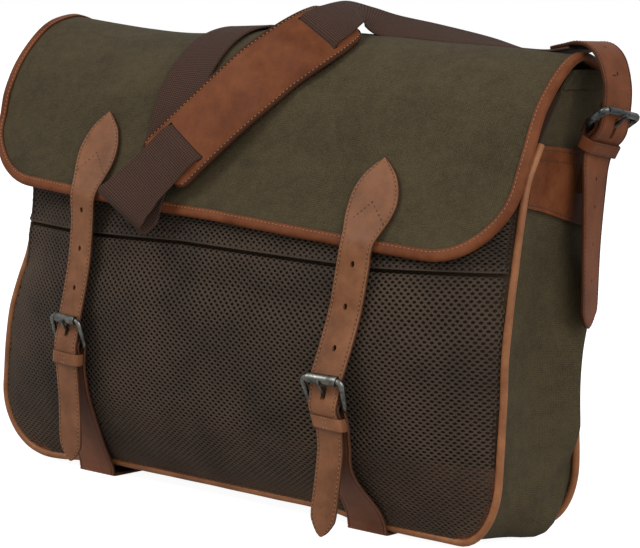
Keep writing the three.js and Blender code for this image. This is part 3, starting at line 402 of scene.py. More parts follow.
def turnedOut(points, faces):  # closed faces, turned so that they point outwards
    points = np.asarray(points)
    volume = 0.0
    for face in faces:
        for k in range(1, len(face) - 1):
            volume += points[face[0]] @ np.cross(points[face[k]], points[face[k + 1]])
    return faces if volume > 0 else [tuple(reversed(face)) for face in faces]


def gridFaces(rows, columns, start=0):
    faces = []
    for j in range(rows - 1):
        for i in range(columns - 1):
            a = start + j * columns + i
            faces.append((a, a + 1, a + columns + 1, a + columns))
    return faces


def ringFaces(rows, count, loop=False):  # walls between rings of points, with end faces unless it is a loop
    faces = []
    for j in range(rows if loop else rows - 1):
        for i in range(count):
            k, nextRow = (i + 1) % count, (j + 1) % rows
            faces.append((j * count + i, j * count + k, nextRow * count + k, nextRow * count + i))
    if not loop:
        faces.append(tuple(range(count)))
        faces.append(tuple((rows - 1) * count + i for i in reversed(range(count))))
    return faces


def shell(name, outer, inner, material, uv=None):  # closed wall between two grids
    rows, columns = outer.shape[:2]
    count = rows * columns
    faces = gridFaces(rows, columns)
    faces += [tuple(reversed(face)) for face in gridFaces(rows, columns, count)]
    ring = [j * columns for j in range(rows)]
    ring += [(rows - 1) * columns + i for i in range(1, columns)]
    ring += [j * columns + columns - 1 for j in range(rows - 2, -1, -1)]
    ring += list(range(columns - 2, 0, -1))
    for a, b in zip(ring, ring[1:] + ring[:1]):
        faces.append((a, b, b + count, a + count))
    points = np.concatenate([outer.reshape(-1, 3), inner.reshape(-1, 3)])
    if uv is None:
        across = lengthAlong(outer[rows // 2])
        down = lengthAlong(outer[:, columns // 2])
        uv = np.stack(np.meshgrid(across, down), axis=-1).reshape(-1, 2)
    return newPiece(name, points, turnedOut(points, faces), material, np.concatenate([uv, uv]))


# Section of a strap from its edge inwards: inset in mm and height as a share of half its thickness
strapEdge = {"inset": [0, 0.2, 0.6, 1.3, 2.1, 2.9, 5], "height": [0, 0.62, 0.93, 1.02, 0.8, 1.0, 1.05]}
webbingEdge = {"inset": [0, 0.15, 0.5, 2.5, 3.5], "height": [0, 0.7, 1.0, 1.0, 0.9]}
padEdge = {
    "inset": [0, 0.25, 0.8, 1.8, 2.7, 3.6, 7, 13], "height": [0, 0.45, 0.72, 0.82, 0.62, 0.84, 1.1, 1.35],
}
keeperEdge = {"inset": [0, 0.2, 0.6, 1.4], "height": [0, 0.62, 0.93, 1.05]}
edgeShade = {"from": 0.42, "side": 0.75, "back": 0.6}  # how dark a strap's cut edges and its back are


def makeBand(name, middle, across, half, thick, material, facing, edge=strapEdge, loop=False, drape=None):
    # A strap along a line: across points to its edge, facing is a rough direction of its outer face
    across = np.broadcast_to(np.asarray(across, float), middle.shape)
    along = headings(middle, loop)
    normal = unit(np.cross(across, along))
    if np.sum(normal * facing) < 0:
        normal = -normal
    half = np.broadcast_to(np.asarray(half, float), (len(middle),))
    inset = np.array(edge["inset"])
    height = np.array(edge["height"])
    room = np.minimum(1, half / (inset[-1] + 2))[:, None]
    outer = half[:, None] - inset * room
    zero = np.zeros((len(middle), 1))
    low = outer[:, 1:3]
    a = np.concatenate([outer, zero, -outer[:, ::-1], -low, zero, low[:, ::-1]], axis=1)
    down = -height[1:3]
    h = np.concatenate([height, height[-1:], height[::-1], down, [-1], down[::-1]]) * thick / 2
    points = middle[:, None] + across[:, None] * a[..., None] + normal[:, None] * h[:, None]
    if drape is not None:
        points = drape(points, middle)
    faces = ringFaces(len(middle), points.shape[1], loop)
    run = lengthAlong(middle)
    uv = np.stack([a, np.broadcast_to(run[:, None], a.shape)], axis=-1).reshape(-1, 2)
    cut = np.where(np.abs(h) < thick * edgeShade["from"], edgeShade["side"], 0.0)
    tone = np.broadcast_to(cut, a.shape).copy()
    tone[:, len(inset) * 2 + 1:] = edgeShade["back"]
    flat = points.reshape(-1, 3)
    piece = newPiece(name, flat, turnedOut(flat, faces), material, uv, tone.ravel())
    return {
        "piece": piece, "middle": middle, "across": across, "half": half, "normal": normal, "thick": thick,
        "drape": drape,
    }


def bandLine(band, side, inset, lift=0.0, first=None, last=None):  # line on a strap's face beside one edge
    part = slice(first, last)
    reach = side * (band["half"][part] - inset)
    points = band["middle"][part] + band["across"][part] * reach[:, None]
    points = points + band["normal"][part] * (band["thick"] / 2 + lift)
    if band["drape"] is not None:
        points = band["drape"](points[:, None], band["middle"][part])[:, 0]
    return points, band["normal"][part]


def tubeMesh(name, line, radius, sides, material, loop=False):
    along = headings(line, loop)
    radius = np.broadcast_to(np.asarray(radius, float), (len(line),))
    side = np.where(np.abs(along[:, 1:2]) > 0.9, axisX, axisY)
    first = unit(side - along * np.sum(side * along, axis=1, keepdims=True))
    second = np.cross(along, first)
    turn = np.linspace(0, 2 * math.pi, sides, endpoint=False)
    ring = first[:, None] * np.cos(turn)[:, None] + second[:, None] * np.sin(turn)[:, None]
    points = line[:, None] + ring * radius[:, None, None]
    faces = ringFaces(len(line), sides, loop)
    flat = points.reshape(-1, 3)
    run = lengthAlong(line)
    uv = np.stack(np.meshgrid(turn * radius.mean(), run), axis=-1).reshape(-1, 2)
    return newPiece(name, flat, turnedOut(flat, faces), material, uv, np.zeros(len(flat)))


def latheMesh(name, centre, axis, profile, sides, material):  # profile of (radius, along), closed on itself
    first = unit(np.cross(axis, axisZ if abs(axis[2]) < 0.9 else axisX))
    second = np.cross(axis, first)
    turn = np.linspace(0, 2 * math.pi, sides, endpoint=False)
    points = []
    for angle in turn:
        out = first * math.cos(angle) + second * math.sin(angle)
        points += [centre + out * r + axis * s for r, s in profile]
    faces = ringFaces(sides, len(profile), True)
    return newPiece(name, points, turnedOut(points, faces), material)


def finishedMesh(piece):  # what the piece's modifiers make, as its own plain mesh
    shown = piece.evaluated_get(bpy.context.evaluated_depsgraph_get())
    made = bpy.data.meshes.new_from_object(shown)
    piece.modifiers.clear()
    piece.data = made


def cutAway(piece, tools):
    for tool in tools:
        cutter = piece.modifiers.new("cut", "BOOLEAN")
        cutter.operation = "DIFFERENCE"
        cutter.solver = "EXACT"
        cutter.object = tool
    finishedMesh(piece)
    piece.data.set_sharp_from_angle(angle=math.radians(sharpAngle))
    for tool in tools:
        bpy.data.objects.remove(tool)


def joinPieces(name, pieces):
    with bpy.context.temp_override(active_object=pieces[0], selected_editable_objects=pieces):
        bpy.ops.object.join()
    pieces[0].name = name
    return pieces[0]


punchShape = {"sides": 16, "reach": 9}


def punchTool(point, direction, wide, tall, up):  # oval punch through a strap
    side = unit(np.cross(direction, up))
    up = np.cross(side, direction)
    turn = np.linspace(0, 2 * math.pi, punchShape["sides"], endpoint=False)
    ring = np.outer(np.cos(turn), side * wide) + np.outer(np.sin(turn), up * tall)
    reach = direction * punchShape["reach"]
    points = np.concatenate([point + ring - reach, point + ring + reach])
    faces = ringFaces(2, punchShape["sides"])
    return newPiece("punch", points, turnedOut(points, faces), leather, tone=np.ones(len(points)))


def blockTool(centre, directions, halves):  # block that cuts a slot
    first, second = directions
    third = np.cross(first, second)
    corners = [centre + first * halves[0] * a + second * halves[1] * b + third * halves[2] * c
               for a in (-1, 1) for b in (-1, 1) for c in (-1, 1)]
    faces = [(0, 1, 3, 2), (4, 6, 7, 5), (0, 4, 5, 1), (2, 3, 7, 6), (0, 2, 6, 4), (1, 5, 7, 3)]
    return newPiece("block", corners, turnedOut(corners, faces), leather, tone=np.ones(len(corners)))


# Sewing: every row is kept as a line with its normals, and made into stitches at the end
sewing = {"tan": [], "dark": [], "olive": []}


def sew(thread, line, normals):
    line = np.asarray(line, float)
    sewing[thread].append((line, np.broadcast_to(normals, line.shape)))


def keep(piece, slot, *nodes):  # rides the bag and stands for its CAD nodes, which it hides; the slot is not used
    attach(piece, "root")
    if nodes:
        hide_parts(*nodes)
    return piece


# Body

body = {
    "canvas": 2.0, "net": 1.6, "gap": 0.5, "piping": 2.7, "rimInset": 3.4, "seamBottom": 5.7, "corner": 46,
    "cornerWide": {"left": 46, "right": 28},
    "top": 327, "leftTop": 320, "frontTop": 312, "backTop": 307.8, "bandTop": 236,
    "frontPipingTop": 278, "sag": 6, "backBulge": 3, "columns": 61, "step": 7,
}
bodyTable = {
    "z": [5, 51, 106, 134, 160, 196, 232, 254, 276, 296, 314, 326],
    "left": [217, 217.5, 213, 204.5, 196.5, 196.5, 202, 207, 213, 218, 220, 221],
    "right": [225, 225, 226, 226, 226, 225, 225, 224, 224, 224, 224, 224],
    "front": [-60, -61, -64, -66, -65, -60, -56, -50, -38, -25, -11, 1],
    "back": [43, 41, 31, 31, 36, 42, 46, 48, 49, 49, 44, 32],
    "dent": [0, 2, 6, 7, 6, 4, 3, 3, 3, 3, 3, 3],
}
bellyTable = {
    "z": [9, 26, 58, 86, 111, 136, 163, 182, 206, 240, 262, 288, 314, 326],
    "y": [-62, -74, -92.5, -99, -101.5, -100, -97.5, -93, -87, -76, -66, -48, -24, -8],
}
rimBottom = body["seamBottom"] + body["rimInset"]
rimRadius = body["corner"] - body["rimInset"]
rimCorner = rimBottom + rimRadius


def bodyAt(column, z):
    return readTable(bodyTable, "z", column, z)


def rimReach(side, z):
    z = np.asarray(z, float)
    full = bodyAt(side, np.maximum(z, rimCorner)) - body["rimInset"]
    drop = np.clip(1 - (z - rimBottom) / rimRadius, 0, 1)
    return full - (body["cornerWide"][side] - body["rimInset"]) * (1 - np.sqrt(1 - drop * drop))


def reachAt(x, z):
    return np.where(x < 0, rimReach("left", z), rimReach("right", z))


# Soft fold under the pocket's mouth, slight waves, and the place pressed in behind the right buckle
netFold = {"deep": 2.16, "z": 157, "slope": -0.05, "tall": 10, "out": 1.44, "outZ": 136, "outTall": 15}
netWave = {"deep": 0.48, "long": 31, "z": 110, "tall": 50}
netDent = {"deep": 6.5, "x": 118, "wide": 24, "z": 84, "tall": 26}


def netY(x, z):
    u = np.minimum(1, np.abs(x) / reachAt(x, z))
    front = bodyAt("front", z)
    reach = np.minimum(readTable(bellyTable, "z", "y", z) - front, 0)
    fold = netFold["deep"] * bump(z, netFold["z"] + netFold["slope"] * x, netFold["tall"])
    fold = fold - netFold["out"] * bump(z, netFold["outZ"], netFold["outTall"])
    wave = netWave["deep"] * np.sin(x / netWave["long"]) * bump(z, netWave["z"], netWave["tall"])
    dent = netDent["deep"] * bump(x, netDent["x"], netDent["wide"]) * bump(z, netDent["z"], netDent["tall"])
    inside = (1 - u ** 3.2) ** 0.9
    return front - body["net"] - body["gap"] / 2 + (reach + fold + wave + dent) * inside


frontArch = {"rise": 5, "left": [-172, -112], "right": [128, 85], "tall": 60}


def archRise(x, z):  # the front's lower seam is drawn up between the billets
    span = np.minimum(share(x, *frontArch["left"]), share(x, *frontArch["right"]))
    return frontArch["rise"] * smooth(span) * (1 - share(z, rimBottom, frontArch["tall"])) ** 2


# The pocket's slit climbs to the right, and at the left the net bags out over the piping
slitTable = {"x": [-200, -112, -30, 130, 225], "up": [-2, 0, 4.4, 4.5, 10.7]}
slitReach = {"z": 182.5, "tall": 32}
netOver = {"from": 26, "x": 0.5, "y": 4, "low": [150, 172], "high": [232, 215], "tuck": 1.2, "cells": 0.9}


def overShare(z):  # how much of the overhang there is at a height
    return np.minimum(share(z, *netOver["low"]), share(z, *netOver["high"]))


def netPoint(x, z, back=0.0):
    climb = np.interp(x, slitTable["x"], slitTable["up"]) * bump(z, slitReach["z"], slitReach["tall"])
    edge = rimReach("left", z)
    over = share(-x, edge - netOver["from"], edge) ** 2 * overShare(z)
    y = netY(x, z) + back - netOver["y"] * over
    return np.stack(np.broadcast_arrays(x - netOver["x"] * over, y, z + archRise(x, z) + climb), axis=-1)


def bodyHeights(low, high, step):
    arc = [rimBottom + rimRadius * (1 - math.cos(a)) for a in np.linspace(0, math.pi / 2, 14)]
    count = max(2, round((high - max(low, rimCorner)) / step))
    rest = np.linspace(max(low, rimCorner), high, count + 1)
    return np.array([z for z in arc if z >= low and z < max(low, rimCorner)] + list(rest))


def frontGrid(heights, back):
    z = heights[:, None]
    u = np.linspace(-1, 1, body["columns"])[None]
    drop = np.clip(1 - (z - rimBottom) / rimRadius, 0, 1)
    past = liningLook["past"] * np.sqrt(1 - drop * drop)
    x = u * (reachAt(u, z) + past)
    return netPoint(x, z, back) - axisZ * (liningLook["past"] * drop)[..., None]


pocketMouth = {"deep": 6, "tall": 5, "low": 172.3, "high": 195, "step": 2}  # the lining stands back in it


def makeFrontPanel():
    extra = np.arange(pocketMouth["low"], pocketMouth["high"], pocketMouth["step"])
    heights = np.unique(np.concatenate([bodyHeights(rimBottom, body["frontTop"], body["step"]), extra]))
    across = np.linspace(-1, 1, body["columns"])
    sunk = pocketMouth["deep"] * bump(heights[:, None], slitReach["z"], pocketMouth["tall"])
    back = body["net"] + body["gap"] + sunk * (1 - across ** 6)
    piece = shell("front_lining", frontGrid(heights, back), frontGrid(heights, back + body["canvas"]), lining)
    keep(piece, "canvas", "front_panel")


def makeBackPanel():
    z = bodyHeights(rimBottom, body["backTop"], body["step"])[:, None]
    u = np.linspace(-1, 1, body["columns"])[None]
    x = u * reachAt(u, z)
    soft = 0.9 * np.sin(x / 47.0 + z / 60.0) * (1 - u ** 4)  # slight unevenness of the cloth
    y = bodyAt("back", z) + 1 + (body["backBulge"] + soft) * (1 - u * u)
    outer = np.stack(np.broadcast_arrays(x, y, z), axis=-1)
    piece = shell("back_canvas", outer, outer - axisY * body["canvas"], canvas)
    keep(piece, "canvas", "back_panel")


# Canvas pushed out under the right patch, at the lower corners and over the back piping, and the free
# corner of the right side above the back panel
patchFill = {"depth": 5.6, "v": 0.62, "wide": 0.26, "z": 252, "tall": 45}
cornerFill = {"depth": 14, "v": 0.72, "wide": 0.3}
backPuff = {"out": 12.5, "low": [44, 84], "high": [214, 176], "v": [0.5, 0.92], "roll": 0.94}
gussetEar = {"z": [306, 318], "back": 46, "out": 7, "v": [0.5, 0.95]}
gussetRows = {"step": 5, "corner": 13, "base": 40, "front": 29, "backFrom": 0.88, "back": 13}
gussetHem = {"over": 0.4, "tall": 13, "rows": 8, "inset": 0.03, "out": 1.1, "under": 0.1, "stitchDown": 3}


def gussetPoint(side, z, angle, v, depth=0.0, x=None):  # v runs from the front to the back edge
    sign = 1 if side == "right" else -1
    place = sign * rimReach(side, z) if x is None else x
    front = bodyAt("front", z) + body["canvas"] + body["gap"]
    back = bodyAt("back", z) - 1 - body["gap"]
    ear = share(z, *gussetEar["z"]) if side == "right" else 0.0
    back = back + np.maximum(gussetEar["back"] - back, 0) * ear
    swell = np.maximum(0, np.sin(math.pi * v))
    upright = math.sin(angle) ** 2
    sag = body["sag"] * math.cos(angle) ** 2 * swell ** 0.6
    fill = cornerFill["depth"] * bump(v, cornerFill["v"], cornerFill["wide"]) * math.sin(2 * angle) ** 2
    out = sag - depth + (gussetFolds(z, v) - bodyAt("dent", z)) * swell * upright
    out = out + gussetEar["out"] * ear * share(v, *gussetEar["v"])
    if side == "right" and x is None:
        patch = bump(v, patchFill["v"], patchFill["wide"]) * bump(z, patchFill["z"], patchFill["tall"])
        fill = fill + patchFill["depth"] * patch * upright
        puff = smooth(share(z, *backPuff["low"])) * smooth(share(z, *backPuff["high"]))
        puff = puff * smooth(share(v, *backPuff["v"])) * np.sqrt(share(v, 1, backPuff["roll"]))
        out = out + backPuff["out"] * puff
    out = out + fill * swell ** 0.5
    return np.stack(np.broadcast_arrays(
        place + sign * out * math.sin(angle), front + (back - front) * v,
        z - out * math.cos(angle) + archRise(place, z) * (1 - v) ** 2,
    ), axis=-1)


gussetFoldTable = [  # out, middle and width across, height at the front edge, its rise to the back, and reach
    (1.5, 0.62, 0.09, 120, 0, 60), (-1.6, 0.47, 0.1, 110, 0, 70),
    (5.5, 0.65, 0.35, 24, 44, 6), (-6.5, 0.7, 0.3, 13, 34, 7),
    (2.0, 0.36, 0.1, 300, 0, 26), (-1.6, 0.2, 0.1, 295, 0, 30), (0.9, 0.8, 0.12, 205, 0, 26),
]


def gussetFolds(z, v):  # soft folds of the side canvas
    return sum(out * bump(v, across, wide) * bump(z, low + rise * v ** 1.6, tall)
               for out, across, wide, low, rise, tall in gussetFoldTable)


def gussetStations():  # down the right side, along the base and up the left side
    step = gussetRows["step"]
    heights = np.linspace(body["top"], rimCorner, round((body["top"] - rimCorner) / step) + 1)
    angles = np.linspace(math.pi / 2, 0, gussetRows["corner"])[1:]
    right = [("right", z, math.pi / 2, None) for z in heights]
    right += [("right", rimBottom + rimRadius * (1 - math.cos(a)), a, None) for a in angles]
    ends = [float(rimReach("right", rimBottom)), -float(rimReach("left", rimBottom))]
    base = [("right", rimBottom, 0.0, x) for x in np.linspace(*ends, gussetRows["base"])[1:-1]]
    left = []
    for _, z, a, x in reversed(right):
        if z < body["leftTop"] + step / 2:
            left.append(("left", min(z, body["leftTop"]), a, x))
    return right + base + left


def makeGusset():
    fine = gussetRows["backFrom"]  # closer columns where the canvas rolls in to the back seam
    toBack = np.linspace(fine, 1, gussetRows["back"])[1:]
    v = np.concatenate([np.linspace(0, fine, gussetRows["front"]), toBack])
    stations = gussetStations()
    face = lambda depth: np.array([gussetPoint(s, z, a, v, depth, x) for s, z, a, x in stations])
    piece = shell("gusset_canvas", face(0), face(body["canvas"]), canvas)
    keep(piece, "canvas", "gusset")
    hemParts = []
    within = v * (1 - 2 * gussetHem["inset"]) + gussetHem["inset"]
    for side, top, outward in (("right", body["top"], axisX), ("left", body["leftTop"], -axisX)):
        heights = np.linspace(top + gussetHem["over"], top - gussetHem["tall"], gussetHem["rows"])
        hem = lambda depth: np.array([gussetPoint(side, z, math.pi / 2, within, depth) for z in heights])
        hemParts.append(shell("hem", hem(-gussetHem["out"]), hem(-gussetHem["under"]), canvas))
        row = np.full_like(v, top - gussetHem["stitchDown"])
        sew("dark", gussetPoint(side, row, math.pi / 2, v * 0.9 + 0.05, -gussetHem["out"] - 0.05), outward)
    keep(joinPieces("gusset_hems", hemParts), "canvas")


def seamLine(column, top):
    heights = np.linspace(top, body["seamBottom"] + body["corner"], 44)
    angles = np.linspace(math.pi / 2, 0, 15)[1:]
    sides = []
    for side, sign in (("right", 1), ("left", -1)):
        line = [(sign * bodyAt(side, z), bodyAt(column, z), z) for z in heights]
        reach = bodyAt(side, body["seamBottom"] + body["corner"])
        for a in angles:
            z = body["seamBottom"] + body["corner"] * (1 - math.cos(a))
            line.append((sign * (reach - body["cornerWide"][side] * (1 - math.sin(a))), bodyAt(column, z), z))
        sides.append(np.array(line, float))
    return evenly(np.concatenate([sides[0], sides[1][::-1]]), 4)


def makePiping():
    for name, column, top in (
        ("front", "front", body["frontPipingTop"]), ("back", "back", body["backTop"] - body["piping"]),
    ):
        line = seamLine(column, top)
        if name == "front":
            line[:, 2] += archRise(line[:, 0], line[:, 2])
        run = lengthAlong(line)
        uneven = 0.03 * np.sin(run / 17.0) + 0.02 * np.sin(run / 6.3)
        radius = body["piping"] * (1 + uneven)
        keep(tubeMesh(f"{name}_leather_piping", line, radius, 14, pipingLeather), "leather", f"{name}_piping")


# Net front: a lattice of points on the pocket's face, whose dual cells become the holes

def startTree(name, sizes, material):  # node group that takes a mesh, some sizes and a material
    tree = bpy.data.node_groups.new(name, "GeometryNodeTree")
    sockets = [("Geometry", "NodeSocketGeometry")] + [(size, "NodeSocketFloat") for size in sizes]
    for label, kind in sockets + [(material, "NodeSocketMaterial")]:
        tree.interface.new_socket(label, in_out="INPUT", socket_type=kind)
    tree.interface.new_socket("Geometry", in_out="OUTPUT", socket_type="NodeSocketGeometry")
    return tree, addNode(tree, "NodeGroupInput").outputs


def endTree(tree, shape, material):  # a real mesh with its material comes out
    real = addNode(tree, "GeometryNodeRealizeInstances", {0: shape}).outputs[0]
    done = addNode(tree, "GeometryNodeSetMaterial", {"Geometry": real, "Material": material}).outputs[0]
    addNode(tree, "NodeGroupOutput", {0: done})
    return tree


def buildNetTree():
    tree, given = startTree("net_holes", ("Yarn Land", "Hole Squeeze", "Hole Share", "Yarn Depth"), "Yarn")
    cells = addNode(tree, "GeometryNodeDualMesh", {0: given["Geometry"]}).outputs[0]
    rim = addNode(tree, "GeometryNodeExtrudeMesh", {"Mesh": cells, "Offset Scale": 0.0, "Individual": True})
    land = addNode(tree, "GeometryNodeScaleElements", {
        "Geometry": rim.outputs["Mesh"], "Selection": rim.outputs["Top"], "Scale": given["Yarn Land"],
    })
    oval = addNode(tree, "GeometryNodeScaleElements", {
        "Geometry": land.outputs[0], "Selection": rim.outputs["Top"], "Scale": given["Hole Squeeze"],
        "Axis": (1, 0, 0),
    }, scale_mode="SINGLE_AXIS")
    sunk = addNode(tree, "GeometryNodeExtrudeMesh", {
        "Mesh": oval.outputs[0], "Selection": rim.outputs["Top"], "Offset Scale": given["Yarn Depth"],
        "Individual": True,
    })
    hole = addNode(tree, "GeometryNodeScaleElements", {
        "Geometry": sunk.outputs["Mesh"], "Selection": sunk.outputs["Top"], "Scale": given["Hole Share"],
    })
    opened = addNode(tree, "GeometryNodeDeleteGeometry", {
        "Geometry": hole.outputs[0], "Selection": sunk.outputs["Top"],
    }, domain="FACE")
    return endTree(tree, opened.outputs[0], given["Yarn"])


def runTree(piece, tree, values):  # sets the inputs by identifier, then keeps the result as a plain mesh
    modifier = piece.modifiers.new(tree.name, "NODES")
    modifier.node_group = tree
    for socket in tree.interface.items_tree:
        if socket.in_out == "INPUT" and socket.name in values:
            modifier[socket.identifier] = values[socket.name]
    finishedMesh(piece)
    piece.data.shade_smooth()


def makeNet(name, low, high, tree, shift=0.0, out=0.0):  # shift moves its cells sideways, out lifts it
    middle = np.linspace(low, high, 400)
    run = lengthAlong(np.stack([readTable(bellyTable, "z", "y", middle), middle], axis=1))
    heights = np.interp(np.arange(0, run[-1], netLook["rows"]), run, middle)
    if low == rimBottom:
        heights = np.concatenate([[low - netLook["tuck"]], heights])
    step, count = netLook["across"], 60
    index, points = {}, []
    for j, z in enumerate(heights):
        for i in range(-count, count + 1):
            x = (i + (j % 2) / 2 + shift) * step
            rim = float(reachAt(x, z))
            hung = overShare(z) if x < 0 else 0
            if abs(x) < rim + step * (1 + netOver["cells"] * hung):
                index[(j, i)] = len(points)
                tuck = netLook["tuck"] + netOver["tuck"] * hung
                points.append(netPoint(np.clip(x, -rim - tuck, rim + tuck), z, -out))
    faces = []
    for j in range(len(heights) - 1):
        odd = j % 2
        for i in range(-count, count + 1):
            up = ((j, i), (j, i + 1), (j + 1, i + odd))
            down = ((j, i + 1 - odd), (j + 1, i + 1), (j + 1, i))
            for corners in (up, down):
                if all(corner in index for corner in corners):
                    faces.append(tuple(index[corner] for corner in corners))
    piece = newPiece(name, np.array(points), faces, net)
    runTree(piece, tree, {
        "Yarn Land": netLook["land"], "Hole Squeeze": netLook["squeeze"], "Hole Share": netLook["hole"],
        "Yarn Depth": -netLook["depth"] * mm, "Yarn": net,
    })
    return piece


def makeCord(name, z, out):  # sewn edge of a net along the pocket's slit
    x = np.linspace(-float(rimReach("left", z)) - 1, float(rimReach("right", z)) + 1, 160)
    return keep(tubeMesh(name, netPoint(x, np.full_like(x, z), -out), netLook["cord"], 8, net), "net")


def makeSideCord(name, low, high):  # turned edge of a net where it bags out past the left piping
    z = np.linspace(low, high, 40)
    x = -rimReach("left", z) - netOver["tuck"]
    return keep(tubeMesh(name, netPoint(x, z), netLook["edgeCord"], 8, net), "net")


def makeNetFront():
    tree = buildNetTree()
    low, high = netLook["slit"]
    pocket = keep(makeNet("net_pocket_mesh", rimBottom, low, tree), "net", "net_pocket")
    band = keep(makeNet("net_band_mesh", high, body["bandTop"], tree), "net", "net_band")
    # the band's lower edge is turned over, so there the net lies double
    bandHem = keep(makeNet("net_band_hem", high, high + netLook["hem"], tree, 0.3, netLook["over"]), "net")
    bandCord = makeCord("net_band_cord", high + 0.6, netLook["over"])
    pocketEdge = makeSideCord("net_pocket_edge", netOver["low"][0], low)
    bandEdge = makeSideCord("net_band_edge", high, netOver["high"][0])


makeFrontPanel()
makeBackPanel()
makeGusset()
makePiping()
makeNetFront()
print("body made")


# Flap

flap = {
    "left": 236, "right": 224.5, "length": 244, "corner": 55, "binding": 6.2, "leaf": 1.2,
    "tiltLeft": 0.016, "tiltRight": 0.048,
    "dipX": -140, "dipSpan": 95, "dip": 11, "stitchRows": (4.0, 9.0), "calm": 20,
}
flapTable = {
    "s": [0, 17, 36, 60, 89, 121, 156, 187, 217, 244],
    "midY": [53.5, 49.5, 33, 10, -18, -45, -66, -77, -88, -97],
    "midZ": [308.5, 324, 335, 339, 333, 315, 287, 258, 231, 206],
    "rightY": [51, 46, 28, 8, -14, -36, -48, -58, -69, -80],
    "rightZ": [308.5, 323, 334, 337, 325, 301, 276, 256, 232, 207],
    "leftY": [51, 46, 29, 10, -17, -42, -56.5, -61, -69, -80],
    "leftZ": [308.5, 323, 333, 335.5, 327, 303.5, 275, 252, 233, 210],
    "dip": [0, 0.3, 0.8, 1, 1, 0.7, 0.3, 0.1, 0, 0],
}


def flapHalf(x):
    return np.where(np.asarray(x) < 0, flap["left"], flap["right"])


def flapPoint(x, s):
    x, s = np.broadcast_arrays(np.asarray(x, float), np.asarray(s, float))
    value = lambda column: readTable(flapTable, "s", column, s)
    middle = 1 - np.minimum(1, np.abs(x / (flapHalf(x) + 2))) ** 2.4
    dip = flap["dip"] * bump(x, flap["dipX"], flap["dipSpan"]) * value("dip")
    slope = np.where(x < 0, flap["tiltLeft"], flap["tiltRight"])
    tilt = slope * x * share(s, flap["length"] / 2, flap["length"])
    endY = np.where(x < 0, value("leftY"), value("rightY"))
    endZ = np.where(x < 0, value("leftZ"), value("rightZ"))
    y = endY + (value("midY") - endY) * middle
    z = endZ + (value("midZ") - endZ) * middle - dip - tilt
    return np.stack([x, y, z], axis=-1)


def flapNormal(x, s):
    x, s = np.broadcast_arrays(np.asarray(x, float), np.asarray(s, float))
    across = flapPoint(x + 0.5, s) - flapPoint(x - 0.5, s)
    down = flapPoint(x, np.minimum(s + 0.5, flap["length"])) - flapPoint(x, np.maximum(s - 0.5, 0))
    return unit(np.cross(down, across))


def onFlap(x, s, lift):
    return flapPoint(x, s) + flapNormal(x, s) * np.asarray(lift)[..., None]


def flapReach(x, s):
    t = np.clip(1 - (flap["length"] - s) / flap["corner"], 0, 1)
    return flapHalf(x) - flap["corner"] * (1 - np.sqrt(1 - t * t))


def flapWaves(x, s):  # slight unevenness of the cloth
    return 0.5 * np.sin(x / 38.0 + s / 51.0) * np.sin(s / 43.0) + 0.3 * np.sin(x / 17.0 - s / 29.0)


def makeFlap():
    bend = flap["length"] - flap["corner"]
    s = np.concatenate([
        np.linspace(0, bend, 60)[:-1],
        flap["length"] - flap["corner"] * (1 - np.sin(np.linspace(0, math.pi / 2, 24))),
    ])[:, None]
    u = np.linspace(-1, 1, 111)[None]
    x = u * flapReach(u, s)
    inside = share(flapReach(u, s) - np.abs(x), 0, flap["calm"]) * share(flap["length"] - s, 0, flap["calm"])
    wave = np.minimum(flapWaves(x, s), 0.3) * inside
    outer = onFlap(x, s, wave)
    inner = onFlap(x, s, wave - body["canvas"])
    uv = np.stack(np.broadcast_arrays(x, s), axis=-1).reshape(-1, 2)
    piece = shell("flap_canvas", outer, inner, canvas, uv)
    keep(piece, "canvas", "flap")
    across = np.linspace(-0.96 * flap["left"], 0.96 * flap["right"], 120)
    for row in flap["stitchRows"]:
        down = np.full_like(across, row)
        sew("olive", onFlap(across, down, 0.1), flapNormal(across, down))


def flapEdge():  # the flap's edge from the left back round to the right back, with its outward direction
    bend = flap["length"] - flap["corner"]
    sides = np.linspace(10, bend, 60)
    turns = np.linspace(0, math.pi / 2, 22)[1:]
    ends = {}
    for side, sign in (("left", -1), ("right", 1)):
        reach = flap[side] - flap["corner"]
        ends[side] = [(sign * flap[side], s, sign, 0) for s in sides]
        for a in turns:
            x, s = sign * (reach + flap["corner"] * math.cos(a)), bend + flap["corner"] * math.sin(a)
            ends[side].append((x, s, sign * math.cos(a), math.sin(a)))
    start, end = ends["left"][-1][0], ends["right"][-1][0]
    front = [(x, flap["length"], 0, 1) for x in np.linspace(start, end, 90)[1:-1]]
    return np.array(ends["left"] + front + ends["right"][::-1])


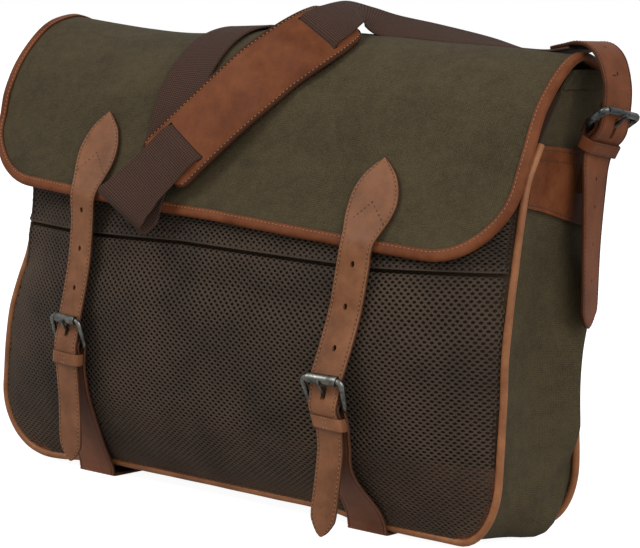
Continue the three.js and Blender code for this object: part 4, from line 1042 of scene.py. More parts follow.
def makeBinding():
    x, s, outX, outS = flapEdge().T
    innerX, innerS = x - outX * flap["binding"], s - outS * flap["binding"]
    out = unit(flapPoint(x, s) - flapPoint(innerX, innerS))
    thick, gap = flap["leaf"], 0.35
    # section of the folded leather: part of the way to the edge, lift, and reach past the edge
    top = [(0, gap, 0), (0, gap + thick * 0.75, 0), (0.08, gap + thick, 0), (0.28, gap + thick * 0.8, 0),
           (0.4, gap + thick * 1.15, 0), (0.75, gap + thick * 1.35, 0), (1, gap + thick * 1.1, 0)]
    nose = [(1, 0.6, 1.0), (1, -1.0, 1.45), (1, -2.6, 1.0)]
    under = [(1, -2 - gap - thick, 0), (0.5, -2 - gap - thick, 0), (0, -2 - gap - thick, 0)]
    inside = [(0, -2 - gap, 0), (1, -2 - gap, 0), (1, -1, gap), (1, gap, 0)]
    section = top + nose + under + inside
    run = lengthAlong(flapPoint(x, s))
    puff = 0.12 * np.sin(run / 9.0)  # slight waves along the fold
    columns = []
    for way, lift, reach in section:
        lifted = np.broadcast_to(lift + (puff if lift > gap + thick else 0), x.shape)
        at = onFlap(innerX + (x - innerX) * way, innerS + (s - innerS) * way, lifted)
        columns.append(at + out * reach)
    count = len(section)
    flat = np.stack(columns, axis=1).reshape(-1, 3)
    faces = ringFaces(len(x), count)
    tone = np.tile([0.5, 0.4] + [0] * (count - 2), len(x))
    uv = np.stack(np.meshgrid(np.arange(count) * 1.5, run), axis=-1).reshape(-1, 2)
    piece = newPiece("flap_binding_leather", flat, turnedOut(flat, faces), darkLeather, uv, tone, 55)
    keep(piece, "leather", "flap_binding")
    seam = 0.28  # where the stitches run, as part of the way to the edge
    lift = np.full_like(x, gap + thick * 0.86)
    line = onFlap(innerX + (x - innerX) * seam, innerS + (s - innerS) * seam, lift)
    sew("tan", line, flapNormal(x, s))


def flapFront(x, z):  # Y of the flap's outer face at a place across and a height
    x, z = np.broadcast_arrays(np.asarray(x, float), np.asarray(z, float))
    low, high = np.full(x.shape, flap["length"] / 2), np.full(x.shape, float(flap["length"]))
    for _ in range(26):
        s = (low + high) / 2
        above = flapPoint(x, s)[..., 2] > z
        low, high = np.where(above, s, low), np.where(above, high, s)
    return flapPoint(x, low)[..., 1]


makeFlap()
makeBinding()
print("flap made")


# Closing straps and their roller buckles

hide = {"thick": 2.4, "stitchInset": 2.1}
tabTable = {
    "z": [269.4, 265, 258, 249, 240, 231, 222, 214, 206],
    "half": [0.6, 6.0, 12.4, 16.8, 18.4, 17.6, 15, 12.9, 12.3],
    "lift": [0.7, 0.7, 0.7, 0.7, 0.7, 0.8, 1.9, 3.3, 3.3],
}
tabDrop = {"left": 0, "right": 9}
strapTable = {
    "z": [190, 163, 140, 119.7, 112, 104, 97, 84, 56],
    "y": [-97.8, -99.5, -103.4, -108.1, -109, -111.6, -113.2, -111.2, -105.5],
}
tabDrape = {"low": 210, "start": 212, "full": 226}  # heights at which the tab follows the flap
tabVee = {"z": 227, "rise": 13, "level": 224, "inset": 3, "points": 14}  # inverted V of stitches at its foot
tongue = {
    "above": [16, 8, 2.5, 0], "half": [12.3, 9.6, 5, 1], "endY": -101.2, "endZ": 26,
    "left": 11.2, "right": 8.7,
}
punch = {"left": [199, 170, 140.5], "right": [190, 163, 137], "wide": 1.5, "tall": 2.1}
closingLean = {"left": (3, 0, 3.3), "right": (-11.5, -5, -7.7)}  # how far it hangs askew in X, Y and Z
closingSpan = ((230, 100), (160, 100), (200, 105))  # heights between which it does, for X, Y and Z
tabSlope = 1.08
prongSlit = {"up": 12, "halves": [2.0, 3.8, 7]}
billetSlit = {"up": 1, "halves": [2.7, 6.5, 8]}
buckle = {
    "barY": -106.2, "barZ": 98, "railY": -113.6, "railZ": 118, "wire": 2.0, "half": 15.6, "corner": 4,
    "rollerIn": 2.4, "rollerOut": 3.4, "rollerLong": 23, "rollerRound": 0.5, "prong": [1.35, 1.25, 0.9, 0.5],
}
billetTable = {
    "y": [-107.6, -109.2, -110.2, -109, -106.2, -103.4, -102.2, -102.6, -101.6, -94.6, -82.5, -71.5, -66.4,
          -64.8, -61, -20, 34],
    "z": [83, 92, 98, 100.8, 102, 100.8, 98, 89, 79, 58, 36, 17, 8, 3, 1.2, 1.2, 1.2],
}
keeperSize = {"y": -110.1, "z": 88.5, "half": 4.0, "height": 9, "thick": 1.5, "room": 0.3, "corner": 3}
keeperStitch = {"aside": 1.2, "reach": 3.2, "points": 6, "out": 1.55}
# Further right and back below the roller, and the slope across the strap
closingHug = {"left": (0, 1.5), "right": (3.5, 9), "spanX": (96, 84), "spanY": (116, 90), "foot": (10, 70)}
closingTwist = {
    "z": [60, 86, 104, 122, 190, 224],
    "left": [-0.2, -0.2, -0.2, -0.2, -0.19, 0], "right": [-0.2, -0.17, -0.06, 0.14, 0.15, 0],
}
billetWidth = {"z": [8, 64], "half": [16.5, 12.3]}  # wider towards the base
billetFoot = (12, 62)
prongEye = {"gap": 0.35, "thick": 1.65, "inner": 1.8, "outer": 1.5}
prongTaper = [0, 0.75, 0.97, 1]
barUp = unit(np.array([0, buckle["railY"] - buckle["barY"], buckle["railZ"] - buckle["barZ"]]))
barIn = np.array([0, barUp[2], -barUp[1]])
barLong = math.hypot(buckle["railY"] - buckle["barY"], buckle["railZ"] - buckle["barZ"])
prongRoute = ((2.6, -0.8), (7, -1.2), (11.5, 0.4), (15, 2.6), (barLong + 1.4, 5.3))  # up the buckle and out


def barPoint(x, up, out):
    return np.array([x, buckle["barY"], buckle["barZ"]]) + barUp * up - barIn * out


def leanClosing(side, points, foot=None):  # hangs a closing askew below the flap, a billet above its foot
    points = np.array(points, float)
    z = points[..., 2].copy()
    fromMiddle = points[..., 0] - closing[side]
    part = 1 if foot is None else smooth(share(z, *foot))
    for k, span in enumerate(closingSpan):
        points[..., k] += closingLean[side][k] * part * share(z, *span)
    points[..., 1] += np.interp(z, closingTwist["z"], closingTwist[side]) * part * fromMiddle
    hug = part * share(z, *closingHug["foot"])
    points[..., 0] += closingHug[side][0] * hug * share(z, *closingHug["spanX"])
    points[..., 1] += closingHug[side][1] * hug * share(z, *closingHug["spanY"])
    return points


def leanPiece(piece, lean):  # moves the piece's points by a function of their places in mm
    points = np.empty(len(piece.data.vertices) * 3)
    piece.data.vertices.foreach_get("co", points)
    places = (points.reshape(-1, 3) - bagShift) / mm
    piece.data.vertices.foreach_set("co", toFrame(lean(places)).ravel())
    piece.data.update()
    return piece


def uprightLine(x, path):  # a path of (Y, Z, ...) at one place across the bag
    return np.stack([np.full(len(path), float(x)), path[:, 0], path[:, 1]], axis=1)


def makeClosingStrap(side, x):
    drop = tabDrop[side]
    hang = lambda points: leanClosing(side, points)
    rows = []
    for z, half, lift in zip(tabTable["z"], tabTable["half"], tabTable["lift"]):
        y = float(flapFront(x, z - drop)) - tabSlope * (lift + hide["thick"] / 2)
        rows.append((y, z - drop, half))
    rows += [(y, z, closing["half"]) for z, y in zip(strapTable["z"], strapTable["y"])]
    lean = (tongue["endY"] - strapTable["y"][-1]) / (tongue["endZ"] - strapTable["z"][-1])
    for above, half in zip(tongue["above"], tongue["half"]):
        z = tongue[side] + above
        rows.append((strapTable["y"][-1] + lean * (z - strapTable["z"][-1]), z, half))
    path = evenly(throughRows(rows, steps(len(rows), 12)), 1.8)
    pathY = lambda z: np.interp(z, path[::-1, 1], path[::-1, 0])

    def drape(points, centre):  # the tab follows the flap across its width
        z = np.minimum(points[..., 2], tabTable["z"][0] - drop)
        lowest = np.maximum(z, tabDrape["low"] - drop)
        turn = flapFront(points[..., 0], lowest) - flapFront(centre[:, None, 0], lowest)
        points = points.copy()
        points[..., 1] += turn * share(z, tabDrape["start"] - drop, tabDrape["full"] - drop)
        return points

    band = makeBand(f"closing_strap_{side}_leather", uprightLine(x, path), axisX, path[:, 2], hide["thick"],
                    leather, -axisY, drape=drape)
    tools = []
    for z in punch[side]:
        tools.append(punchTool(np.array([x, pathY(z), z]), axisY, punch["wide"], punch["tall"], axisZ))
    tools.append(blockTool(barPoint(x, prongSlit["up"], 0), [axisX, barUp], prongSlit["halves"]))
    cutAway(band["piece"], tools)
    keep(leanPiece(band["piece"], hang), "leather", f"closing_strap_{side}")
    for edge in (-1, 1):
        line, normals = bandLine(band, edge, hide["stitchInset"], 0, 2, -2)
        sew("tan", hang(line), normals)
    along = np.linspace(0, 1, tabVee["points"])
    z = tabVee["z"] - drop + tabVee["rise"] * (1 - along)
    reach = np.interp(tabVee["level"], tabTable["z"][::-1], tabTable["half"][::-1]) - tabVee["inset"]
    for edge in (-1, 1):
        veeX = x + edge * along * reach
        y = pathY(z) - hide["thick"] / 2 + flapFront(veeX, z) - flapFront(x, z)
        sew("dark", np.stack([veeX, y - 0.1, z], axis=1), -axisY)


def makeBillet(side, x):
    rows = list(zip(billetTable["y"], billetTable["z"]))
    path = evenly(throughRows(rows, steps(len(rows), 14)), 1.5)
    path[:, 1] = np.maximum(path[:, 1], hide["thick"] / 2)
    half = np.interp(path[:, 1], billetWidth["z"], billetWidth["half"])
    outward = -axisY - axisZ * 0.2
    band = makeBand(f"billet_{side}_leather", uprightLine(x, path), axisX, half, hide["thick"] * 0.98,
                    billetLeather, outward)
    slit = blockTool(barPoint(x, billetSlit["up"], 0), [axisX, barUp], billetSlit["halves"])
    cutAway(band["piece"], [slit])
    hang = lambda points: leanClosing(side, points, billetFoot)
    keep(leanPiece(band["piece"], hang), "leather", f"billet_{side}")


def roundedLoop(half, length, corner, place, each=7):  # rectangle with round corners, each of so many points
    line = []
    side, high = half - corner, length - corner
    for quarter, (cx, cu) in enumerate([(side, high), (-side, high), (-side, corner), (side, corner)]):
        for k in range(each):
            angle = (quarter + k / (each - 1)) * math.pi / 2
            line.append(place(cx + corner * math.cos(angle), cu + corner * math.sin(angle)))
    return np.array(line)


def makeProng(name, centre, axis, wire, route, thick, material):  # an eye round the bar and a tapered arm
    inside, outside = wire + prongEye["gap"], wire + prongEye["gap"] + prongEye["thick"]
    ring = [(inside, -prongEye["inner"]), (outside, -prongEye["outer"]),
            (outside, prongEye["outer"]), (inside, prongEye["inner"])]
    eye = latheMesh("eye", centre, axis, ring, 24, material)
    line = throughRows(route, steps(len(route), 8))
    taper = np.interp(np.linspace(0, 1, len(line)), prongTaper, thick)
    return joinPieces(name, [eye, tubeMesh("arm", line, taper, 12, material)])


def makeBuckle(side, x):
    loop = roundedLoop(buckle["half"], barLong, buckle["corner"], lambda a, up: barPoint(x + a, up, 0))
    frameTube = tubeMesh(f"buckle_frame_{side}_metal", loop, buckle["wire"], 14, gunmetal, True)
    hang = lambda points: leanClosing(side, points)
    keep(leanPiece(frameTube, hang), "gunmetal", f"buckle_frame_{side}")
    r, bore, half = buckle["rollerOut"], buckle["rollerIn"], buckle["rollerLong"] / 2
    face, flank = r - buckle["rollerRound"], half - buckle["rollerRound"]
    profile = [(bore, -half), (face, -half), (r, -flank), (r, flank), (face, half), (bore, half)]
    roller = latheMesh(f"buckle_roller_{side}_metal", barPoint(x, barLong, 0), axisX, profile, 28, gunmetal)
    keep(leanPiece(roller, hang), "gunmetal", f"buckle_roller_{side}")
    # behind the strap up to its slit, then over the roller
    route = [barPoint(x, up, out) for up, out in prongRoute]
    prong = makeProng(f"buckle_prong_{side}_metal", barPoint(x, 0, 0), axisX, buckle["wire"], route,
                      buckle["prong"], gunmetal)
    keep(leanPiece(prong, hang), "gunmetal", f"buckle_prong_{side}")


def keeperLoop(name, centre, wide, through, halves, height, material):
    first, second = (half + keeperSize["thick"] / 2 for half in halves)
    place = lambda a, b: centre + wide * a + through * (b - second)
    ring = roundedLoop(first, 2 * second, keeperSize["corner"], place, 8)
    loop = evenly(np.vstack([ring, ring[:1]]), 1.6)[:-1]
    return makeBand(name, loop, np.cross(wide, through), height / 2, keeperSize["thick"], material,
                    unit(loop - centre), keeperEdge, True)


def makeKeeper(side, x):
    centre = np.array([x, keeperSize["y"], keeperSize["z"]])
    halves = [closing["half"] + keeperSize["room"], keeperSize["half"]]
    band = keeperLoop(f"keeper_{side}_leather", centre, axisX, axisY, halves, keeperSize["height"], leather)
    hang = lambda points: leanClosing(side, points)
    keep(leanPiece(band["piece"], hang), "leather", f"keeper_{side}")
    up = np.linspace(-keeperStitch["reach"], keeperStitch["reach"], keeperStitch["points"])[:, None]
    for shift in (-keeperStitch["aside"], keeperStitch["aside"]):
        start = centre + axisX * shift - axisY * (keeperSize["half"] + keeperStitch["out"])
        sew("tan", hang(start + axisZ * up), -axisY)


for side in ("left", "right"):
    x = closing[side]
    makeClosingStrap(side, x)
    makeBillet(side, x)
    makeBuckle(side, x)
    makeKeeper(side, x)
print("closings made")


# Right side: patch, chape, pin buckle and the punched leather end of the shoulder strap

sideBuckle = {"y": 15, "barX": 240.5, "barZ": 290, "railX": 255, "railZ": 301, "half": 22.4, "wire": 2.5,
              "corner": 4, "prong": [1.5, 1.35, 1.0, 0.6]}
patchTable = {"v": [0.05, 0.3, 0.6, 0.93], "low": [236, 232, 225, 219], "high": [277, 275.5, 273, 271]}
chapeTable = {
    "x": [235.2, 236.5, 238.3, 241.1, 244.1, 244.8, 243, 239, 236.97, 234, 230.7, 228.7, 228.2],
    "z": [284, 290.5, 294, 294.5, 292.6, 289.3, 286.2, 282, 277.7, 271.7, 264, 255, 244],
}
chapeWidth = {"z": [244, 256, 264, 272, 280], "half": [4, 4.5, 6, 11, 17.5]}  # narrows under the strap
sideTable = {
    "x": [240.4, 238.4, 237.6, 237.4, 239.6, 245.9, 248.8, 250.2, 249, 241.8, 231.5, 219, 206, 194],
    "y": [15.6, 15.4, 15.1, 15, 15, 15, 15, 15, 16, 18.5, 22, 27, 31.5, 35.5],
    "z": [168, 210, 250, 266, 276.5, 283.9, 290.3, 303.5, 320, 336, 344, 345.6, 342.4, 339.3],
    "tilt": [0, 0, 0, 0, 0, 0, 0, 0, 0, 0, 0, 0.01, 0.04, 0.06],
    "turn": [0.26, 0.21, 0.11, 0.04, 0, 0, 0, 0, 0, 0, 0, 0, 0, 0],
}
sideTip = {"z": [152, 154.5, 160], "half": [1, 8, 15], "strap": 19}
sideHoles = {"rows": [0.4, 1.0, 1.6, 2.2, 8.4, 9.8], "wide": 1.0, "tall": 1.3}  # places in rows of sideTable
sideKeeper = {"x": 238.97, "z": 276.76, "half": 3.9, "height": 9.5, "lean": 0.433, "room": 0.5}
sideLean = {"slope": 0.14, "low": (240, 270), "high": (335, 310)}
sideSlits = {"strap": (6.6, 4.4, [2.1, 6, 7.2]), "chape": (1, 0, [3, 7, 8])}  # up, out and half sizes
sideStitch = {"sewn": (4.0, 11.0), "reach": 16, "points": 14, "keeperRise": 3.2, "keeperReach": 17}
sideRise = np.array([sideBuckle["railX"] - sideBuckle["barX"], 0, sideBuckle["railZ"] - sideBuckle["barZ"]])
sideUp = unit(sideRise)
sideIn = np.array([-sideUp[2], 0, sideUp[0]])
sideLong = math.hypot(sideRise[0], sideRise[2])
sideRoute = ((0.4, 2.8), (2.5, 3.4), (sideLong / 2, 4), (sideLong + 2.2, 4.1))  # of the prong, up and out


def sideBarPoint(across, up, out):
    bar = np.array([sideBuckle["barX"], sideBuckle["y"] + across, sideBuckle["barZ"]])
    return bar + sideUp * up - sideIn * out


def leanSide(points):  # the side buckle and what it holds hang lower towards the back
    points = np.array(points, float)
    z = points[..., 2].copy()
    part = share(z, *sideLean["low"]) * share(z, *sideLean["high"])
    points[..., 2] -= sideLean["slope"] * (points[..., 1] - sideBuckle["y"]) * part
    return points


def makePatch(side):
    v = np.linspace(patchTable["v"][0], patchTable["v"][-1], 29)
    edge = lambda column: readTable(patchTable, "v", column, v)
    z = edge("low") + (edge("high") - edge("low")) * np.linspace(0, 1, 15)[:, None]
    lift = 0.7 + hide["thick"]
    face = lambda depth: np.array([gussetPoint(side, row, math.pi / 2, v, depth) for row in z])
    piece = shell(f"side_patch_{side}_leather", face(-lift), face(-body["gap"] * 0.6), darkLeather)
    keep(piece, "leather", f"side_patch_{side}")
    out = axisX if side == "right" else -axisX
    for row, rise in (("high", -2.5), ("high", -9.5), ("low", 2.5)):
        sew("dark", gussetPoint(side, edge(row) + rise, math.pi / 2, v, -lift - 0.05), out)


def sideSlit(name):
    up, out, halves = sideSlits[name]
    return blockTool(sideBarPoint(0, up, out), [axisY, sideUp], halves)


def makeSideStrap():
    rows = np.stack([sideTable[k] for k in ("x", "y", "z", "tilt", "turn")], axis=1)
    start = rows[0]
    tip = [(start[0], start[1], z, 0, start[4]) for z in sideTip["z"]]
    rows = np.vstack([tip, rows])
    half = np.array(sideTip["half"] + [sideTip["strap"]] * len(sideTable["x"]))
    path = evenly(throughRows(np.column_stack([rows, half]), steps(len(rows), 16)), 2.0)
    tilt, turn = path[:, 3], path[:, 4]
    across = unit(np.stack([np.sin(turn), -np.cos(turn) * np.cos(tilt), np.sin(tilt)], axis=1))
    middle = path[:, :3].copy()
    width = np.minimum(path[:, 5], sideTip["strap"])
    band = makeBand("side_strap_leather", middle, across, width, hide["thick"], darkLeather, axisX)
    holes = []
    places = throughRows(np.stack([sideTable[k] for k in ("x", "y", "z")], axis=1), sideHoles["rows"])
    for place in places:
        near = int(np.argmin(np.linalg.norm(middle - place, axis=1)))
        along = headings(middle)[near]
        holes.append(punchTool(place, band["normal"][near], sideHoles["wide"], sideHoles["tall"], along))
    holes.append(sideSlit("strap"))
    cutAway(band["piece"], holes)
    keep(leanPiece(band["piece"], leanSide), "leather", "side_strap")
    for edge in (-1, 1):
        line, normals = bandLine(band, edge, hide["stitchInset"], 0, 3, -2)
        sew("dark", leanSide(line), normals)
    spread = np.linspace(-sideStitch["reach"], sideStitch["reach"], sideStitch["points"])[:, None]
    for inset in sideStitch["sewn"]:  # where the webbing is sewn under the leather's end
        place = int(len(middle) - 1 - inset / 2)
        normal = band["normal"][place]
        sew("dark", middle[place] + across[place] * spread + normal * (hide["thick"] / 2), normal)


def makeChape():
    rows = [(x, sideBuckle["y"], z) for x, z in zip(chapeTable["x"], chapeTable["z"])]
    middle = evenly(throughRows(rows, steps(len(rows), 12)), 1.5)
    away = unit(middle - np.array([sideBuckle["barX"] - 4, sideBuckle["y"], sideBuckle["barZ"] - 6]))
    half = np.interp(middle[:, 2], chapeWidth["z"], chapeWidth["half"])
    band = makeBand("side_chape_leather", middle, axisY, half, hide["thick"], darkLeather, away)
    cutAway(band["piece"], [sideSlit("chape")])
    keep(leanPiece(band["piece"], leanSide), "leather", "side_chape")


def makeSideBuckle():
    place = lambda a, up: sideBarPoint(a, up, 0)
    loop = roundedLoop(sideBuckle["half"], sideLong, sideBuckle["corner"], place)
    frameTube = tubeMesh("side_buckle_frame_metal", loop, sideBuckle["wire"], 14, blackMetal, True)
    keep(leanPiece(frameTube, leanSide), "gunmetal", "side_buckle_frame")
    route = [sideBarPoint(0, up, out) for up, out in sideRoute]
    prong = makeProng("side_buckle_prong_metal", sideBarPoint(0, 0, 0), axisY, sideBuckle["wire"], route,
                      sideBuckle["prong"], blackMetal)
    keep(leanPiece(prong, leanSide), "gunmetal", "side_buckle_prong")
    through = np.array([math.cos(sideKeeper["lean"]), 0, -math.sin(sideKeeper["lean"])])
    centre = np.array([sideKeeper["x"], sideBuckle["y"], sideKeeper["z"]])
    halves = [sideTip["strap"] + sideKeeper["room"], sideKeeper["half"]]
    band = keeperLoop("side_keeper_leather", centre, axisY, through, halves, sideKeeper["height"],
                      darkLeather)
    keep(leanPiece(band["piece"], leanSide), "leather", "side_keeper")
    spread = np.linspace(-sideStitch["keeperReach"], sideStitch["keeperReach"], 16)[:, None]
    face = centre + axisY * spread + through * (sideKeeper["half"] + keeperStitch["out"])
    for rise in (-sideStitch["keeperRise"], sideStitch["keeperRise"]):
        sew("dark", leanSide(face + np.cross(axisY, through) * rise), through)


makePatch("right")
makePatch("left")
makeSideStrap()
makeChape()
makeSideBuckle()
print("side strap made")


# Shoulder strap: webbing and its pad

# Slits, the run of webbing through each and the pad's rounded ends are counted in rows of padTable
shoulder = {
    "half": 19.5, "thick": 1.8, "padHalf": 27, "padThick": 3.6, "fold": 4.5,
    "slits": [1.42, 5.85], "run": 0.22,
    "padEnd": 0.5, "endShare": 0.62, "endGrows": 0.38, "lift": 1.15, "slitRoom": (1, 1.5),
    "stitchInset": 2.7, "stitchDown": 0.35,
}
rightTable = [  # middle and direction to the front edge, from the leather end to the pad
    (213, 28.6, 341.4, 0, -0.99, 0.03), (192, 36.2, 336.4, 0, -0.99, 0.1), (172, 38.3, 335.4, 0, -0.99, 0.12),
    (150, 37, 336.8, 0, -0.99, 0.06), (124.2, 31.5, 339.8, 0, -0.99, -0.11),
    (85, 27.1, 343.4, 0.05, -0.97, -0.24), (57.1, 21.9, 345.6, 0.2, -0.92, -0.34),
    (42.7, 16.2, 350.6, 0.45, -0.82, -0.32), (37, 6.5, 354.2, 0.78, -0.5, -0.31),
]
padTable = [  # middle and direction to the right edge, from the pad's upper to its lower end
    (35, -6.5, 348, 0.92, -0.2, -0.33), (35.5, -28, 340.4, 0.89, -0.1, -0.44),
    (29.4, -46.2, 329.8, 0.87, -0.075, -0.49), (14.9, -58.3, 315, 0.86, -0.065, -0.5),
    (4.8, -69.3, 301.3, 0.86, -0.07, -0.51), (-12.7, -80, 280.6, 0.86, -0.11, -0.49),
    (-34.5, -91, 254.7, 0.84, -0.125, -0.525), (-49.7, -98.5, 235.9, 0.83, -0.11, -0.545),
]
foldTable = [  # round the fold at the flap's lower edge: middle, direction to the right edge, and width
    (-56.5, -106.5, 227, 0.82, -0.12, -0.55, 1.05), (-64.5, -113, 214.5, 0.85, -0.08, -0.52, 1.14),
    (-70, -115.5, 207, 0.87, -0.05, -0.49, 1.24), (-72, -110, 202.5, 0.87, -0.05, -0.49, 1.27),
    (-67, -102.5, 208, 0.89, -0.02, -0.45, 1.2),
]
flapRows = [  # up the flap: X, way down the flap, lift, and the edge's direction across and up
    (-61.5, 222, 5.2, 0.94, -0.34), (-59, 196, 3, 0.96, -0.26), (-60, 160, 2.6, 0.98, -0.14),
    (-60, 122, 2.6, 1, 0), (-61, 90, 2.6, 1, 0), (-60, 60, 2.8, 1, 0), (-59, 36, 3, 1, 0), (-58, 17, 3, 1, 0),
    (-57.5, 2, 3, 1, 0),
]
# Hidden way behind the bag: a fold, a run along the back, a fold at the left corner and the sewn end
backFold, cornerFold = (-57, 56, 284), (-227, 32, 268)
backTable = [(-110, 64, 274), (-160, 62, 272), (-200, 61, 270), (-214, 59.5, 268), (-224, 53, 268)]
endTable = [(-203.3, 22, 236), (-202.1, 22, 228)]


def padFrame(k):  # middle, direction to the right edge and face of the pad, at places in rows
    data = np.array(padTable, float)
    p, r = throughRows(data[:, :3], k), unit(throughRows(data[:, 3:], k))
    ahead = throughRows(data[:, :3], np.asarray(k) + 0.02) - throughRows(data[:, :3], np.asarray(k) - 0.02)
    face = unit(np.cross(ahead, r))
    return p, r, np.where(face[:, 2:] > 0, face, -face)


def flatFold(start, heading, turned, face):  # rows of a strip that folds over itself and turns
    axis = unit(heading + turned)
    straight = heading @ axis
    bent = heading - axis * straight
    turn = np.linalg.norm(bent)
    bent = bent / turn
    rows = []
    for angle in np.linspace(0, math.pi, 7):
        p = np.array(start, float) + axis * straight / turn * shoulder["fold"] * angle
        p = p + bent * shoulder["fold"] * math.sin(angle) + face * shoulder["fold"] * (1 - math.cos(angle))
        rows.append((p, -axis, 1 / turn))
    return rows


def webbingRows():  # middle, direction to one edge and share of the width, from the leather end on
    rows = [(np.array(row[:3], float), unit(np.array(row[3:], float)), 1) for row in rightTable]
    upper, lower = shoulder["slits"]
    run = shoulder["run"]
    stops = [(0.3, 1), (0.75, 1), (upper - run, 1), (upper + run, -1), (2.6, -1), (3.6, -1), (4.6, -1),
             (lower - run, -1), (lower + run, 1), (6.6, 1)]
    over = shoulder["padThick"] / 2 + shoulder["lift"] + shoulder["thick"] / 2
    p, r, face = padFrame(np.array([k for k, _ in stops]))
    rows += [(p[i] + face[i] * over * stops[i][1], r[i], 1) for i in range(len(stops))]
    rows += [(np.array(row[:3], float), unit(np.array(row[3:6], float)), row[6]) for row in foldTable]
    for x, s, lift, rx, rz in flapRows:
        up = unit(flapPoint(x, max(s - 1, 0)) - flapPoint(x, min(s + 1, flap["length"])))
        right = unit(flapPoint(x + shoulder["half"], s) - flapPoint(x - shoulder["half"], s))
        rows.append((onFlap(x, s, lift), unit(right * rx + up * rz), 1))
    rows += flatFold(backFold, -axisZ, -axisX, axisY)
    rows += [(np.array(row, float), axisZ, 1) for row in backTable]
    rows += flatFold(cornerFold, -axisY, -axisZ, axisX)
    rows += [(np.array(row, float), axisY, 1) for row in endTable]
    return rows, len(rightTable), len(stops)


def webbingEdges(rows, half, places):
    left = throughRows([p - r * half * wide for p, r, wide in rows], places)
    right = throughRows([p + r * half * wide for p, r, wide in rows], places)
    return left, right


def bandFromEdges(name, left, right, thick, material):
    middle, across = (left + right) / 2, unit(right - left)
    half = np.linalg.norm(right - left, axis=1) / 2
    return makeBand(name, middle, across, half, thick, material, np.zeros(3), webbingEdge)


def makeShoulder():
    rows, before, count = webbingRows()
    edges = webbingEdges(rows, shoulder["half"], steps(len(rows), 8))
    band = bandFromEdges("shoulder_webbing", *edges, shoulder["thick"], webbing)
    keep(band["piece"], "webbing", "webbing")

    last, end = len(padTable) - 1, shoulder["padEnd"]
    k = np.concatenate([
        np.linspace(0, end, 14)[:-1], np.linspace(end, last - end, 90), last - np.linspace(end, 0, 14)[1:],
    ])
    p, r, face = padFrame(k)
    fromEnd = np.minimum(np.minimum(k, last - k) / end, 1)
    rounded = shoulder["endShare"] + shoulder["endGrows"] * np.sqrt(1 - (1 - fromEnd) ** 3)
    pad = makeBand("shoulder_pad_leather", p, r, shoulder["padHalf"] * rounded, shoulder["padThick"],
                   darkLeather, face, padEdge)
    tools = []
    wider, thicker = shoulder["slitRoom"]
    for first in (before, before + count - 4):  # webbing's rows through the upper and the lower slit
        edges = webbingEdges(rows, shoulder["half"] + wider, np.linspace(first, first + 3, 40))
        tools.append(bandFromEdges("slit", *edges, shoulder["thick"] + thicker, leather)["piece"])
    cutAway(pad["piece"], tools)
    keep(pad["piece"], "leather", "shoulder_pad")
    for edge in (-1, 1):
        line, normals = bandLine(pad, edge, shoulder["stitchInset"], -shoulder["stitchDown"], 6, -6)
        sew("tan", line, normals)


makeShoulder()
print("shoulder strap made")


# Stitches of every row of sewing

stitchSize = {"spacing": 3.2, "length": 2.1, "width": 0.75}


def buildStitchTree():
    tree, given = startTree("sewn_stitches", ("Spacing", "Stitch Length", "Stitch Width"), "Thread")
    curve = addNode(tree, "GeometryNodeMeshToCurve", {"Mesh": given["Geometry"]}).outputs[0]
    spaced = addNode(tree, "GeometryNodeResampleCurve", {
        "Curve": curve, "Length": given["Spacing"],
    }, mode="LENGTH").outputs[0]
    bead = addNode(tree, "GeometryNodeMeshUVSphere", {
        "Segments": 6, "Rings": 4, "Radius": 0.5,
    }).outputs["Mesh"]
    size = addNode(tree, "ShaderNodeCombineXYZ", {
        0: given["Stitch Length"], 1: given["Stitch Width"], 2: given["Stitch Width"],
    }).outputs[0]
    stitch = addNode(tree, "GeometryNodeTransform", {"Geometry": bead, "Scale": size}).outputs[0]
    tangent = addNode(tree, "GeometryNodeInputTangent").outputs[0]
    normal = addNode(tree, "GeometryNodeInputNamedAttribute", {
        "Name": "faceNormal",
    }, data_type="FLOAT_VECTOR").outputs[0]
    lying = addNode(tree, "FunctionNodeAlignRotationToVector", {"Vector": tangent}, axis="X").outputs[0]
    facing = addNode(tree, "FunctionNodeAlignRotationToVector", {
        "Rotation": lying, "Vector": normal,
    }, axis="Z", pivot_axis="X").outputs[0]
    placed = addNode(tree, "GeometryNodeInstanceOnPoints", {
        "Points": spaced, "Instance": stitch, "Rotation": facing,
    }).outputs[0]
    return endTree(tree, placed, given["Thread"])


def makeStitches():
    tree = buildStitchTree()
    for thread, material, slot in (
        ("tan", tanThread, "leather"), ("dark", darkThread, "leather"), ("olive", oliveThread, "canvas"),
    ):
        points, edges, normals = [], [], []
        for line, facing in sewing[thread]:
            start = len(points)
            points += list(line)
            normals += list(facing)
            edges += [(start + i, start + i + 1) for i in range(len(line) - 1)]
        mesh = bpy.data.meshes.new(f"{thread}_stitches")
        mesh.from_pydata(toFrame(points).tolist(), edges, [])
        outward = mesh.attributes.new("faceNormal", "FLOAT_VECTOR", "POINT")
        outward.data.foreach_set("vector", np.array(normals).ravel())
        piece = addObject(f"{thread}_stitches", mesh)
        runTree(piece, tree, {
            "Spacing": stitchSize["spacing"] * mm, "Stitch Length": stitchSize["length"] * mm,
            "Stitch Width": stitchSize["width"] * mm, "Thread": material,
        })
        keep(piece, slot)


makeStitches()
print("stitches made")


# Floor, light and camera

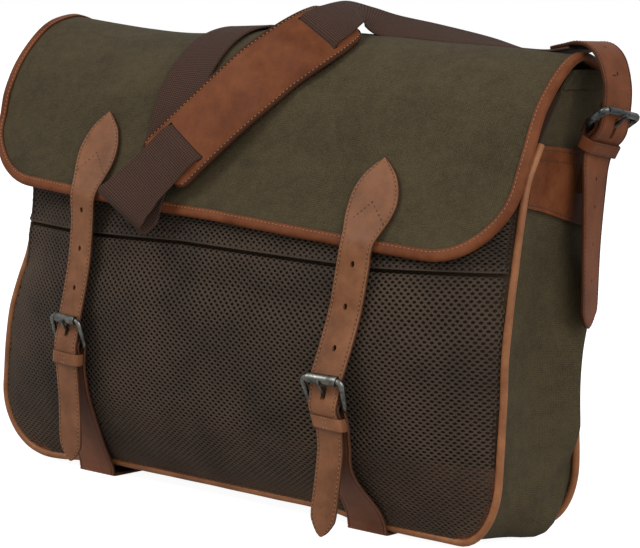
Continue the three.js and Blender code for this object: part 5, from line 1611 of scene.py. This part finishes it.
view = {
    "turn": 35.2, "rise": 7.4, "roll": 3.6, "away": 1938.5, "target": (25.1, 0, 163.5),
    "lens": 150.46, "sensor": 36, "reach": 100,
}
paper = {"half": 6.0, "thrown": 0.25, "seen": 0.94}  # light it throws on the bag and light the camera sees
studio = {"thrown": 0.82, "seen": 1.0}
lamps = {
    "key": {"place": (-1.2, -2.0, 2.2), "target": (0, 0, 0.15), "size": 1.6, "power": 44},
    "side": {"place": (2.2, -1.3, 1.9), "target": (0, 0, 0.2), "size": 1.4, "power": 36},
    "low side": {"place": (2.2, -0.4, 0.55), "target": (0.2, 0, 0.28), "size": 0.8, "power": 7},
}


def glowOf(tree, look):  # one strength to the camera and another in the light it throws
    seen = addNode(tree, "ShaderNodeLightPath").outputs["Is Camera Ray"]
    return addNode(tree, "ShaderNodeMapRange", {
        "Value": seen, "To Min": look["thrown"], "To Max": look["seen"],
    }).outputs[0]


def makeStage():
    half = paper["half"]
    mesh = bpy.data.meshes.new("floor")
    corners = [(-half, -half, 0), (half, -half, 0), (half, half, 0), (-half, half, 0)]
    mesh.from_pydata(corners, [], [(0, 1, 2, 3)])
    # White paper: pure white to the camera, with a faint shadow, and dimmer in what it throws back
    material, tree, shader = newMaterial("white_paper", {
        "Roughness": 0.9, "Base Color": linear("#9a9a9a"), "Emission Color": linear("#ffffff"),
    })
    setInputs(tree, shader, {"Emission Strength": glowOf(tree, paper)})
    mesh.materials.append(material)
    floor = addObject("floor", mesh)
    world = bpy.data.worlds.new("studio")
    bpy.context.scene.world = world
    world.use_nodes = True
    tree = world.node_tree
    setInputs(tree, tree.nodes["Background"], {
        "Color": linear("#ffffff"), "Strength": glowOf(tree, studio),
    })


def addLight(name, place, target, size, power):
    light = bpy.data.lights.new(name, "AREA")
    light.shape = "DISK"
    light.size = size
    light.energy = power
    lamp = addObject(name, light)
    lamp.location = place
    lamp.rotation_euler = (Vector(target) - Vector(place)).to_track_quat("-Z", "Y").to_euler()


def makeCamera():
    turn, rise, roll = (math.radians(view[k]) for k in ("turn", "rise", "roll"))
    back = np.array([math.sin(turn) * math.cos(rise), -math.cos(turn) * math.cos(rise), math.sin(rise)])
    right = np.array([math.cos(turn), math.sin(turn), 0])
    up = np.cross(back, right)
    across = right * math.cos(roll) + up * math.sin(roll)
    above = up * math.cos(roll) - right * math.sin(roll)
    place = toFrame(np.array(view["target"]) + back * view["away"])
    camera = bpy.data.cameras.new("camera")
    camera.lens = view["lens"]
    camera.sensor_width = view["sensor"]
    camera.clip_end = view["reach"]
    eye = addObject("camera", camera)
    turned = np.stack([across, above, back], axis=1)
    eye.matrix_world = Matrix([[*row, p] for row, p in zip(turned, place)] + [[0, 0, 0, 1]])
    bpy.context.scene.camera = eye


makeStage()
for name, lamp in lamps.items():
    addLight(name, **lamp)
makeCamera()
bpy.context.scene.view_settings.view_transform = "Standard"
print("stage made")
